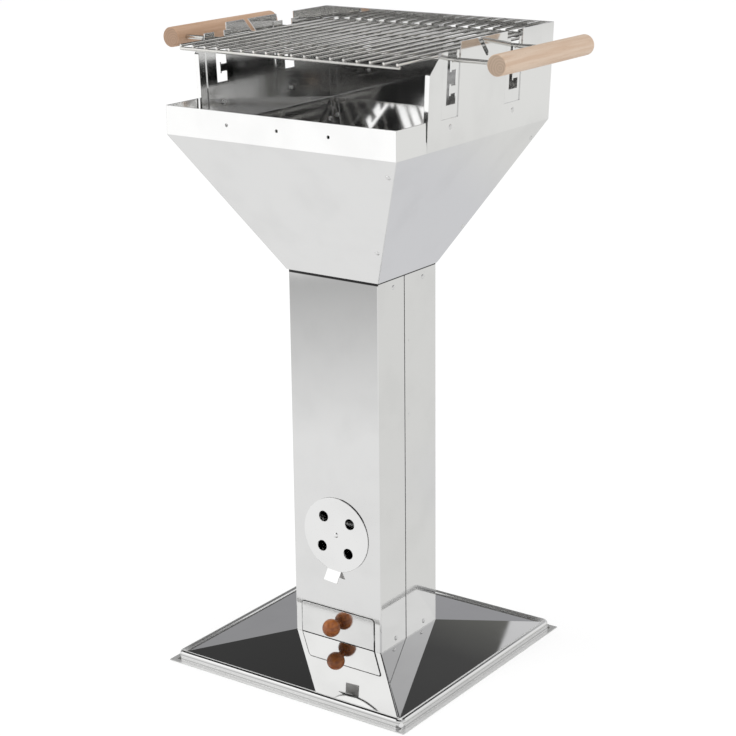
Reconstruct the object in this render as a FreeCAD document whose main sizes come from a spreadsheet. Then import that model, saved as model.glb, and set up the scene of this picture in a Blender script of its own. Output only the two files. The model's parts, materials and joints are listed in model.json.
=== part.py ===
"""Charcoal column barbecue in mirror-finished stainless sheet.

X runs to the right along the front, Y to the back and Z up. The origin is the middle of the floor face of
the base. All sizes are millimetres. The driving sizes stand in the sheet "sizes"; every sketch, feature and
placement is bound to it.
"""
import FreeCAD, Part
import math
import os

import Sketcher

Vector = FreeCAD.Vector
Rotation = FreeCAD.Rotation

# Column: two channels of sheet metal that meet at a seam on each side
column_width = 150
column_depth = 140
column_height = 540
column_sheet = 1
column_bend = 2
seam_setback = 62
seam_gap = 2
seam_lap = 14
# Base: a low pyramid with a rounded bead, a skirt and a floor flange
base_width = 408
base_sheet = 1.2
base_top = 31
base_margin = 1
floor_flange = 8
rim_height = 14.5
bead_radius = 4.5
bead_drop = 3.1
rim_corner = 10
relief_hole = 7
relief_height = 6
# Feet of the column: tabs lanced out of the flat top of the base
foot_tab_width = 18
foot_tab_height = 19
foot_screw_height = 10
screw_front = 37
screw_rear = 32
screw_bore = 4
screw_fit = 0.05
screw_head = 7
screw_head_height = 1.8
screw_length = 8
# Hopper: a four-sided funnel, a low collar in front and raised guards at the sides and back
hopper_width = 370
hopper_wall = 1.2
hopper_overhang = 1.5
slope_height = 194
collar_height = 39
guard_height = 133
guard_flare = 6.5
guard_margin = 21
guard_return = 7
guard_corner = 25
post_drop = 10
guard_slit = 2
guard_relief = 12
return_rise = 2
corner_flange = 14
flange_start = 6
neck_depth = 26
neck_gap = 0.2
neck_tab = 20
front_tab = 100
neck_screw_drop = 13
collar_hole = 4.5
collar_hole_spacing = 82
collar_hole_rise = 21.5
rivet_inset = 8.5
rivet_low = 51
rivet_high = 170
rivet_bore = 3.2
rivet_head = 7
rivet_dome = 1.5
# Slots of the raised sides and the plates that give the grate its heights
rod_rise = 111.5
rod_spacing = 152
rod_shift = 14
rod_diameter = 6
slot_front = 13.5
slot_rear = 8
level_step = 30
last_step = 24
tongue_head = 15
tongue_lip = 2.5
tongue_tip = 5.5
tongue_neck = 3.3
window_front = 11.5
window_rear = 6.5
window_sill = 17
plate_sheet = 1.2
plate_margin = 9
plate_foot = 17
plate_top_gap = 10
plate_rivet_drop = 28
notch_width = 7
notch_depth = 22
notch_lean = 20
notch_place = 6
# Cooking grate with its rods and grips
grate_width = 350
grate_length = 340
grate_shift = 6
grate_bar_count = 18
bar_diameter = 4
end_wire = 5
weld_sink = 0.4
saddle_gap = 0.05
grip_diameter = 28
grip_length = 224
grip_reach = 263
grip_overhang = 18
grip_edge = 1.5
rod_bite = 4
bite_gap = 0.3
# Charcoal grate low in the funnel
charcoal_rise = 70
charcoal_bar_count = 15
charcoal_bar = 4
charcoal_wire = 5
charcoal_gap = 0.3
# Ash drawer
drawer_width = 126
drawer_height = 47
drawer_gap = 1.5
drawer_drift = 0.8
drawer_lift = 0.9
runner_width = 4
runner_start = 15
drawer_corner = 4
drawer_sheet = 1
tray_inset = 3
tray_length = 122
tray_wall = 34
knob_height = 26
knob_diameter = 26
knob_neck = 10
knob_neck_length = 3
knob_bore = 3.2
knob_bore_depth = 15
knob_screw_length = 14
# Air vent
vent_height = 164
vent_diameter = 110
vent_sheet = 1
vent_hole = 16
vent_port = 20
vent_circle = 64
vent_turn_angle = 4
vent_standoff = 0.8
vent_tab_width = 23.5
vent_tab_length = 17
vent_tab_angle = 30
vent_tab_root = 3
pivot_diameter = 4
pivot_fit = 0.06
pivot_head = 8
pivot_dome = 1.6
spacer_diameter = 12

# Every size above becomes a cell of the sheet under its own name
sizes = {name: value for name, value in globals().items() if isinstance(value, (int, float))}
doc = FreeCAD.newDocument("column_barbecue")
sheet = doc.addObject("Spreadsheet::Sheet", "sizes")
for number, (name, value) in enumerate(sizes.items(), 1):
    sheet.set("A%d" % number, name)
    sheet.set("B%d" % number, str(value))
    sheet.setAlias("B%d" % number, name)
doc.recompute()
nodes = []


def size(name):
    """The number held by one cell of the sheet."""
    return float(sheet.get(name))


# Places that several pieces share, written once as expressions on the sheet
HALF_WIDTH = "(sizes.column_width / 2)"
HALF_DEPTH = "(sizes.column_depth / 2)"
HALF_HOPPER = "(sizes.hopper_width / 2)"
HEAD = "(sizes.base_top + sizes.column_height)"
SEAM_FRONT = "(-%s + sizes.seam_setback)" % HALF_DEPTH
SEAM_REAR = "(%s + sizes.seam_gap)" % SEAM_FRONT
SCREW_FRONT = "(-%s + sizes.screw_front)" % HALF_DEPTH
SCREW_REAR = "(%s - sizes.screw_rear)" % HALF_DEPTH
COLLAR_TOP = "(sizes.slope_height + sizes.collar_height)"
GUARD_TOP = "(sizes.slope_height + sizes.guard_height)"
POST_TOP = "(%s - sizes.post_drop)" % GUARD_TOP
ROD_HEIGHT = "(sizes.slope_height + sizes.rod_rise)"
ROD_FRONT = "(sizes.rod_shift - sizes.rod_spacing / 2)"
ROD_REAR = "(sizes.rod_shift + sizes.rod_spacing / 2)"
WINDOW_FRONT = "(%s - sizes.slot_front - sizes.window_front)" % ROD_FRONT
GUARD_FRONT = "(%s - sizes.plate_margin - sizes.guard_margin)" % WINDOW_FRONT
DRAWER_ACROSS = "(-sizes.drawer_drift)"


def plane_of(body, role):
    """The origin plane of a body with that role."""
    return next(item for item in body.Origin.OriginFeatures if item.Role == role)


def new_body(label):
    """A body that will be exported as the node of that name."""
    body = doc.addObject("PartDesign::Body", label)
    body.Label = label
    nodes.append(body)
    return body


def new_sketch(body, name, role="XY_Plane", height=None, turn=None, tilt=None):
    """A sketch on an origin plane, moved along the plane's normal.

    turn is an angle about the sketch's upright axis, tilt an expression for the angle about its level axis.
    """
    sketch = body.newObject("Sketcher::SketchObject", name)
    sketch.AttachmentSupport = (plane_of(body, role), [""])
    sketch.MapMode = "FlatFace"
    if turn is not None:
        sketch.AttachmentOffset = FreeCAD.Placement(Vector(), Rotation(Vector(0, 1, 0), turn))
    if height is not None:
        sketch.setExpression("AttachmentOffset.Base.z", height)
    if tilt is not None:
        sketch.setExpression("AttachmentOffset.Rotation.Angle", tilt)
        offset = sketch.AttachmentOffset
        offset.Rotation.Axis = Vector(1, 0, 0)
        sketch.AttachmentOffset = offset
    return sketch


def hold(sketch, kind, item, point, expression):
    """Hold one point of the sketch at a distance from the sketch's origin."""
    number = sketch.addConstraint(Sketcher.Constraint(kind, -1, 1, item, point, 1.0))
    sketch.setExpression("Constraints[%d]" % number, expression)


def outline(sketch, corners, arcs=None):
    """Draw a closed outline through the corners; arcs gives a radius and a side for some of its edges.

    The side is "left" or "right": where the arc's centre lies as its edge is followed from corner to corner.
    """
    first = len(sketch.Geometry)
    count = len(corners)
    ring = [Vector(math.cos(2 * math.pi * i / count), math.sin(2 * math.pi * i / count), 0) * 50
            for i in range(count)]
    arcs = arcs or {}
    for i in range(count):
        sketch.addGeometry(Part.LineSegment(ring[i], ring[(i + 1) % count]), i in arcs)
    for i in range(count):
        following = first + (i + 1) % count
        sketch.addConstraint(Sketcher.Constraint("Coincident", first + i, 2, following, 1))
    for i, (across, along) in enumerate(corners):
        hold(sketch, "DistanceX", first + i, 1, across)
        hold(sketch, "DistanceY", first + i, 1, along)
    if arcs:
        doc.recompute()
    for i, (radius, side) in arcs.items():
        round_edge(sketch, first + i, radius, side)


def round_edge(sketch, edge, radius, side):
    """Span a straight construction edge with an arc of the given radius."""
    chord = sketch.Geometry[edge]
    start, end = chord.StartPoint, chord.EndPoint
    half = (end - start) * 0.5
    sign = 1 if side == "left" else -1
    centre = start + half + Vector(-half.y, half.x, 0) * sign
    if side == "right":
        start, end = end, start
    angles = [math.atan2(point.y - centre.y, point.x - centre.x) for point in (start, end)]
    if angles[1] < angles[0]:
        angles[1] += 2 * math.pi
    circle = Part.Circle(centre, Vector(0, 0, 1), (start - centre).Length)
    arc = sketch.addGeometry(Part.ArcOfCircle(circle, angles[0], angles[1]), False)
    points = (1, 2) if side == "left" else (2, 1)
    sketch.addConstraint(Sketcher.Constraint("Coincident", arc, points[0], edge, 1))
    sketch.addConstraint(Sketcher.Constraint("Coincident", arc, points[1], edge, 2))
    number = sketch.addConstraint(Sketcher.Constraint("Radius", arc, circle.Radius))
    sketch.setExpression("Constraints[%d]" % number, radius)


def rectangle(sketch, left, right, low, high):
    """Draw a rectangle between four distances from the sketch's origin."""
    outline(sketch, [(left, low), (right, low), (right, high), (left, high)])


def rounded_square(sketch, half, radius):
    """Draw a square with round corners about the sketch's origin, from the middle of its right side on."""
    near = "(%s - %s)" % (half, radius)
    corners = [
        (half, "0"),
        (half, near), (near, half),
        ("-" + near, half), ("-" + half, near),
        ("-" + half, "-" + near), ("-" + near, "-" + half),
        (near, "-" + half), (half, "-" + near),
    ]
    outline(sketch, corners, {i: (radius, "left") for i in (1, 3, 5, 7)})


def circle(sketch, across, along, diameter):
    """Draw a circle at two distances from the sketch's origin."""
    item = sketch.addGeometry(Part.Circle(Vector(10, 10, 0), Vector(0, 0, 1), 2.0), False)
    hold(sketch, "DistanceX", item, 3, across)
    hold(sketch, "DistanceY", item, 3, along)
    number = sketch.addConstraint(Sketcher.Constraint("Diameter", item, 4.0))
    sketch.setExpression("Constraints[%d]" % number, diameter)


def pad(body, sketch, length, middle=False, backwards=False):
    """Pad a sketch along its normal, against it, or half each way."""
    feature = body.newObject("PartDesign::Pad", sketch.Name + "_pad")
    feature.Profile = sketch
    feature.setExpression("Length", length)
    feature.Midplane = middle
    feature.Reversed = backwards
    return feature


def pocket(body, sketch, middle=False, backwards=False, length=None):
    """Cut a sketch through the body and make sure that something was cut."""
    doc.recompute()
    before = body.Shape.Volume
    feature = body.newObject("PartDesign::Pocket", sketch.Name + "_cut")
    feature.Profile = sketch
    if length is None:
        feature.Type = "ThroughAll"
    else:
        feature.setExpression("Length", length)
    feature.Midplane = middle
    feature.Reversed = backwards
    doc.recompute()
    if body.Shape.Volume >= before:
        raise RuntimeError("%s cuts nothing" % feature.Name)
    return feature


def revolve(body, sketch):
    """Turn a sketch once round its upright axis."""
    feature = body.newObject("PartDesign::Revolution", sketch.Name + "_turn")
    feature.Profile = sketch
    feature.ReferenceAxis = (sketch, ["V_Axis"])
    feature.Angle = 360
    return feature


def taper(body, name, low, high, cut=False):
    """Join or cut the flat-sided solid between two level rectangles, each a height and four distances."""
    kind = "PartDesign::SubtractiveWedge" if cut else "PartDesign::AdditiveWedge"
    feature = body.newObject(kind, name)
    feature.AttachmentSupport = (plane_of(body, "XZ_Plane"), [""])
    feature.MapMode = "FlatFace"
    for (height, left, right, front, back), end, row in ((low, "min", ""), (high, "max", "2")):
        feature.setExpression("Y" + end, height)
        feature.setExpression("X%smin" % row, left)
        feature.setExpression("X%smax" % row, right)
        feature.setExpression("Z%smin" % row, "-(%s)" % back)
        feature.setExpression("Z%smax" % row, "-(%s)" % front)
    return feature


def place(body, across="0", along="0", up="0"):
    """Bind the place of a body to the sheet."""
    body.setExpression("Placement.Base.x", across)
    body.setExpression("Placement.Base.y", along)
    body.setExpression("Placement.Base.z", up)


# Base plate: pyramid shell, bead and skirt swept round it, floor flange, lanced tabs
BASE_HALF = "(sizes.base_width / 2)"
SKIRT = "(%s - sizes.floor_flange)" % BASE_HALF
BEAD_TOP = "(%s - sizes.bead_radius)" % SKIRT
BEAD_INSIDE = "(%s - 2 * sizes.bead_radius)" % SKIRT
BEAD_SPRING = "(sizes.rim_height - sizes.bead_radius)"
PYRAMID_FOOT = "(sizes.rim_height - sizes.bead_drop)"
PYRAMID_HALF = "(%s + sizes.base_sheet / 2)" % BEAD_INSIDE


def make_base():
    """The pressed base, one sheet from the floor flange to the flat top."""
    body = new_body("base_plate")
    top_across = "(%s + sizes.base_margin)" % HALF_WIDTH
    top_along = "(%s + sizes.base_margin)" % HALF_DEPTH
    foot = (PYRAMID_FOOT, "-" + PYRAMID_HALF, PYRAMID_HALF, "-" + PYRAMID_HALF, PYRAMID_HALF)
    top = ("sizes.base_top", "-" + top_across, top_across, "-" + top_along, top_along)
    edge = new_sketch(body, "pyramid_edge", height=PYRAMID_FOOT + " - sizes.base_sheet")
    rectangle(edge, *foot[1:])
    pad(body, edge, "sizes.base_sheet")
    taper(body, "pyramid", foot, top)
    lower_foot = (foot[0] + " - sizes.base_sheet",) + foot[1:]
    lower_top = (top[0] + " - sizes.base_sheet",) + top[1:]
    taper(body, "pyramid_hollow", lower_foot, lower_top, cut=True)

    path = new_sketch(body, "rim_path")
    rounded_square(path, SKIRT, "sizes.rim_corner")
    wall = "sizes.base_sheet"
    profile = new_sketch(body, "rim_profile", "XZ_Plane")
    corners = [
        (SKIRT, "0"),
        (SKIRT, BEAD_SPRING),
        (BEAD_TOP, "sizes.rim_height"),
        (BEAD_INSIDE, BEAD_SPRING),
        ("%s + %s" % (BEAD_INSIDE, wall), BEAD_SPRING),
        (BEAD_TOP, "sizes.rim_height - %s" % wall),
        ("%s - %s" % (SKIRT, wall), BEAD_SPRING),
        ("%s - %s" % (SKIRT, wall), "0"),
    ]
    inner = "sizes.bead_radius - %s" % wall
    outline(profile, corners, {
        1: ("sizes.bead_radius", "left"),
        2: ("sizes.bead_radius", "left"),
        4: (inner, "right"),
        5: (inner, "right"),
    })
    rim = body.newObject("PartDesign::AdditivePipe", "rim")
    rim.Profile = profile
    rim.Spine = (path, [])
    rim.Transition = "Round corner"

    flange = new_sketch(body, "floor_flange")
    rectangle(flange, "-" + BASE_HALF, BASE_HALF, "-" + BASE_HALF, BASE_HALF)
    rounded_square(flange, "(%s - %s)" % (SKIRT, wall), "(sizes.rim_corner - %s)" % wall)
    pad(body, flange, wall)

    for side, name in ((1, "right"), (-1, "left")):
        outer = "(%s - sizes.column_sheet)" % HALF_WIDTH
        inner = "(%s - %s)" % (outer, wall)
        lance = "(%s - sizes.foot_tab_height)" % inner
        for along, row in ((SCREW_FRONT, "front"), (SCREW_REAR, "rear")):
            front = "%s - sizes.foot_tab_width / 2" % along
            back = "%s + sizes.foot_tab_width / 2" % along
            signed = [("" if side > 0 else "-") + value for value in (lance, inner, outer)]
            tab = new_sketch(body, "tab_%s_%s" % (name, row), height="sizes.base_top - %s" % wall)
            rectangle(tab, *sorted_pair(signed[1], signed[2], side), front, back)
            pad(body, tab, "sizes.foot_tab_height + %s" % wall)
            gap = new_sketch(body, "lance_%s_%s" % (name, row), height="sizes.base_top")
            rectangle(gap, *sorted_pair(signed[0], signed[1], side), front, back)
            pocket(body, gap, length="2 * %s" % wall)
    bores = new_sketch(body, "tab_bores", "YZ_Plane")
    for along in (SCREW_FRONT, SCREW_REAR):
        circle(bores, along, "sizes.base_top + sizes.foot_screw_height", "sizes.screw_bore")
    pocket(body, bores, middle=True)
    for turn, name in ((45, "one"), (-45, "other")):
        relief = new_sketch(body, "corner_relief_" + name, "XZ_Plane", turn=turn)
        circle(relief, "0", "sizes.relief_height", "sizes.relief_hole")
        pocket(body, relief, middle=True)


def sorted_pair(first, second, side):
    """Two distances from the left to the right for the side of the part that they lie on."""
    return (first, second) if side > 0 else (second, first)


# Column


def make_column_front():
    """The front channel, with the drawer opening, the vent ports and the holes for its screws."""
    body = new_body("column_front")
    place(body, up="sizes.base_top")
    sheet_in = "sizes.column_sheet"
    bend = "sizes.column_bend"
    inner_bend = "(sizes.column_bend - sizes.column_sheet)"
    inner_width = "(%s - %s)" % (HALF_WIDTH, sheet_in)
    corners = [
        ("-%s + %s" % (HALF_WIDTH, bend), "-" + HALF_DEPTH),
        ("%s - %s" % (HALF_WIDTH, bend), "-" + HALF_DEPTH),
        (HALF_WIDTH, "-%s + %s" % (HALF_DEPTH, bend)),
        (HALF_WIDTH, SEAM_FRONT),
        (inner_width, SEAM_FRONT),
        (inner_width, "-%s + %s" % (HALF_DEPTH, bend)),
        ("%s - %s" % (HALF_WIDTH, bend), "-%s + %s" % (HALF_DEPTH, sheet_in)),
        ("-%s + %s" % (HALF_WIDTH, bend), "-%s + %s" % (HALF_DEPTH, sheet_in)),
        ("-" + inner_width, "-%s + %s" % (HALF_DEPTH, bend)),
        ("-" + inner_width, SEAM_FRONT),
        ("-" + HALF_WIDTH, SEAM_FRONT),
        ("-" + HALF_WIDTH, "-%s + %s" % (HALF_DEPTH, bend)),
    ]
    profile = new_sketch(body, "front_channel")
    outline(profile, corners, {1: (bend, "left"), 5: (inner_bend, "right"),
                               7: (inner_bend, "right"), 11: (bend, "left")})
    pad(body, profile, "sizes.column_height")

    opening = new_sketch(body, "drawer_opening", "XZ_Plane")
    half = "(sizes.drawer_width / 2 + sizes.drawer_gap)"
    high = "(sizes.drawer_lift + sizes.drawer_height + sizes.drawer_gap)"
    corner = "(sizes.drawer_corner + sizes.drawer_gap)"
    outline(opening, [
        ("-" + half, "-1"), (half, "-1"),
        (half, "%s - %s" % (high, corner)), ("%s - %s" % (half, corner), high),
        ("-%s + %s" % (half, corner), high), ("-" + half, "%s - %s" % (high, corner)),
    ], {2: (corner, "left"), 4: (corner, "left")})
    pocket(body, opening, backwards=True)

    ports = new_sketch(body, "vent_ports", "XZ_Plane")
    offset = "(sizes.vent_circle / 2 * sqrt(0.5))"
    for across in (offset, "-" + offset):
        for up in (offset, "-" + offset):
            circle(ports, across, "sizes.vent_height + %s" % up, "sizes.vent_port")
    circle(ports, "0", "sizes.vent_height", "sizes.pivot_diameter + 2 * sizes.pivot_fit")
    pocket(body, ports, backwards=True)
    column_bores(body, "front_bores", SCREW_FRONT)


def column_bores(body, name, along):
    """Holes for the foot and head screws through both side flanges of a channel."""
    bores = new_sketch(body, name, "YZ_Plane")
    circle(bores, along, "sizes.foot_screw_height", "sizes.screw_bore")
    circle(bores, along, "sizes.column_height - sizes.neck_screw_drop", "sizes.screw_bore")
    pocket(body, bores, middle=True)


def make_column_rear():
    """The rear channel; its front edges step inwards and lap behind the front channel."""
    body = new_body("column_rear")
    place(body, up="sizes.base_top")
    one = "(%s - sizes.column_sheet)" % HALF_WIDTH
    two = "(%s - 2 * sizes.column_sheet)" % HALF_WIDTH
    lap = "(%s - sizes.seam_lap)" % SEAM_FRONT
    step = "(%s + sizes.column_sheet)" % SEAM_REAR
    inside = "(%s - sizes.column_sheet)" % HALF_DEPTH
    corners = [
        (HALF_WIDTH, SEAM_REAR), (HALF_WIDTH, HALF_DEPTH),
        ("-" + HALF_WIDTH, HALF_DEPTH), ("-" + HALF_WIDTH, SEAM_REAR),
        ("-" + one, SEAM_REAR), ("-" + one, lap), ("-" + two, lap), ("-" + two, step),
        ("-" + one, step), ("-" + one, inside), (one, inside), (one, step),
        (two, step), (two, lap), (one, lap), (one, SEAM_REAR),
    ]
    profile = new_sketch(body, "rear_channel")
    outline(profile, corners)
    pad(body, profile, "sizes.column_height")
    column_bores(body, "rear_bores", SCREW_REAR)


# Hopper: each panel has a plain edge that reaches the corner and, at its other edge, a flange folded back
# behind the plain edge of its neighbour


def funnel(height, direction, inwards="0"):
    """Distance of the funnel's outer face from the middle at a height, less a distance inwards."""
    column = HALF_WIDTH if direction == "across" else HALF_DEPTH
    low = "(%s + sizes.hopper_overhang)" % column
    return "(%s + (%s - %s) * (%s) / sizes.slope_height - (%s))" % (low, HALF_HOPPER, low, height, inwards)


def signed(expression, sign):
    """The expression or its negative."""
    return expression if sign > 0 else "-" + expression


WALL = "sizes.hopper_wall"
TWO_WALLS = "2 * sizes.hopper_wall"

# The panel whose plain edge covers the folded flange of each side
NEIGHBOUR = {"front": "left", "right": "front", "rear": "right", "left": "rear"}


def panel_rectangle(side, height, spread, faces, ends):
    """Where a panel's sheet lies at a height.

    side is "front", "right", "rear" or "left". faces gives two distances inwards from the panel's outer face,
    and ends gives two distances inwards from the corners at its flanged and plain ends. spread is how far the
    guard has leaned outwards at that height, or None on the funnel itself.
    """
    across = funnel(height, "across") if spread is None else "(%s + %s)" % (HALF_HOPPER, spread)
    along = funnel(height, "along") if spread is None else HALF_HOPPER
    outer, inner = faces
    flanged, plain = ends
    if side == "front":
        return (height, "-%s + %s" % (across, flanged), "%s - %s" % (across, plain),
                "-%s + %s" % (along, outer), "-%s + %s" % (along, inner))
    if side == "rear":
        return (height, "-%s + %s" % (across, plain), "%s - %s" % (across, flanged),
                "%s - %s" % (along, inner), "%s - %s" % (along, outer))
    if side == "right":
        return (height, "%s - %s" % (across, inner), "%s - %s" % (across, outer),
                "-%s + %s" % (along, flanged), "%s - %s" % (along, plain))
    return (height, "-%s + %s" % (across, outer), "-%s + %s" % (across, inner),
            "-%s + %s" % (along, plain), "%s - %s" % (along, flanged))


def panel_taper(body, name, side, low, high, faces, ends):
    """Make a sheet of a panel between two heights, each given with how far the guard leans out there."""
    taper(body, name,
          panel_rectangle(side, low[0], low[1], faces, ends),
          panel_rectangle(side, high[0], high[1], faces, ends))


def corner_fold(body, side, top):
    """The flange folded back along the flanged corner, on the funnel and up to a height above the fold."""
    neighbour = NEIGHBOUR[side]
    fold = "sizes.slope_height"
    for name, start, end in (("flange", ("sizes.flange_start", None), (fold, None)),
                             ("flange_upright", (fold, "0"), top)):
        taper(body, name, fold_rectangle(neighbour, *start), fold_rectangle(neighbour, *end))


def fold_rectangle(neighbour, height, spread):
    """Where a folded flange lies at a height, just behind the neighbour's sheet."""
    across = funnel(height, "across") if spread is None else "(%s + %s)" % (HALF_HOPPER, spread)
    along = funnel(height, "along") if spread is None else HALF_HOPPER
    reach = "sizes.corner_flange"
    if neighbour == "left":
        return (height, "-%s + %s" % (across, WALL), "-%s + %s" % (across, TWO_WALLS),
                "-" + along, "-%s + %s" % (along, reach))
    if neighbour == "front":
        return (height, "%s - %s" % (across, reach), across,
                "-%s + %s" % (along, WALL), "-%s + %s" % (along, TWO_WALLS))
    if neighbour == "right":
        return (height, "%s - %s" % (across, TWO_WALLS), "%s - %s" % (across, WALL),
                "%s - %s" % (along, reach), along)
    return (height, "-" + across, "-%s + %s" % (across, reach),
            "%s - %s" % (along, TWO_WALLS), "%s - %s" % (along, WALL))


def corner_bores(body, side):
    """Bores for the corner rivets, square to the slopes: in the panel's plain edge and in its flange."""
    for name, slope in (("edge_bores", side), ("flange_bores", NEIGHBOUR[side])):
        level = slope in ("front", "rear")
        column, role = (HALF_DEPTH, "XZ_Plane") if level else (HALF_WIDTH, "YZ_Plane")
        across = "across" if level else "along"
        low = "(%s + sizes.hopper_overhang)" % column
        run = "(%s - %s)" % (HALF_HOPPER, low)
        outwards = 1 if slope in ("front", "right") else -1
        tilt = signed("atan(%s / sizes.slope_height)" % run, outwards)
        bores = new_sketch(body, name, role, height=signed(low, outwards), tilt=tilt)
        for height in ("sizes.rivet_low", "sizes.rivet_high"):
            along = signed("(%s - sizes.rivet_inset)" % funnel(height, across), outwards)
            circle(bores, along, "%s * sqrt(1 + (%s / sizes.slope_height) ^ 2)" % (height, run),
                   "sizes.rivet_bore")
        pocket(body, bores, middle=True, length="6 * " + WALL)


def neck(body, side):
    """The ledge that rests on the column's edge, and the tabs that reach down inside the column."""
    column = HALF_DEPTH if side in ("front", "rear") else HALF_WIDTH
    inside = "(%s - sizes.column_sheet - sizes.neck_gap)" % column
    tab_inner = "(%s - %s)" % (inside, WALL)
    outside = "(%s + sizes.hopper_overhang)" % column
    sign = -1 if side in ("front", "left") else 1
    if side in ("front", "rear"):
        reach = "(%s + sizes.hopper_overhang - %s)" % (HALF_WIDTH, WALL)
        spans = [("-sizes.front_tab / 2", "sizes.front_tab / 2")]
    else:
        reach = "(%s - sizes.column_sheet - sizes.neck_gap - %s)" % (HALF_DEPTH, TWO_WALLS)
        spans = [("%s - sizes.neck_tab / 2" % along, "%s + sizes.neck_tab / 2" % along)
                 for along in (SCREW_FRONT, SCREW_REAR)]
    ledge = new_sketch(body, "ledge")
    faces = sorted_pair(signed(tab_inner, sign), signed(outside, sign), sign)
    if side in ("front", "rear"):
        rectangle(ledge, "-" + reach, reach, *faces)
    else:
        rectangle(ledge, *faces, "-" + reach, reach)
    pad(body, ledge, WALL)
    faces = sorted_pair(signed(tab_inner, sign), signed(inside, sign), sign)
    for number, span in enumerate(spans):
        tab = new_sketch(body, "neck_tab_%d" % number)
        if side in ("front", "rear"):
            rectangle(tab, *span, *faces)
        else:
            rectangle(tab, *faces, *span)
        pad(body, tab, "sizes.neck_depth", backwards=True)


def make_hopper_front():
    """The front panel, with the low collar and its three holes."""
    body = new_body("hopper_front")
    place(body, up=HEAD)
    panel_taper(body, "slope", "front", ("0", None), ("sizes.slope_height", None), ("0", WALL), (WALL, "0"))
    panel_taper(body, "collar", "front", ("sizes.slope_height", "0"), (COLLAR_TOP, "0"),
               ("0", WALL), (WALL, "0"))
    corner_fold(body, "front", (COLLAR_TOP, "0"))
    corner_bores(body, "front")
    neck(body, "front")
    holes = new_sketch(body, "collar_holes", "XZ_Plane")
    for across in ("-sizes.collar_hole_spacing", "0", "sizes.collar_hole_spacing"):
        circle(holes, across, "sizes.slope_height + sizes.collar_hole_rise", "sizes.collar_hole")
    pocket(body, holes, backwards=True)


def make_hopper_rear():
    """The rear panel, raised to the top of the guards."""
    body = new_body("hopper_rear")
    place(body, up=HEAD)
    panel_taper(body, "slope", "rear", ("0", None), ("sizes.slope_height", None), ("0", WALL), (WALL, "0"))
    panel_taper(body, "guard", "rear", ("sizes.slope_height", "0"), (GUARD_TOP, "sizes.guard_flare"),
               ("0", WALL), (WALL, "0"))
    corner_fold(body, "rear", (GUARD_TOP, "sizes.guard_flare"))
    corner_bores(body, "rear")
    neck(body, "rear")


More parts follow.
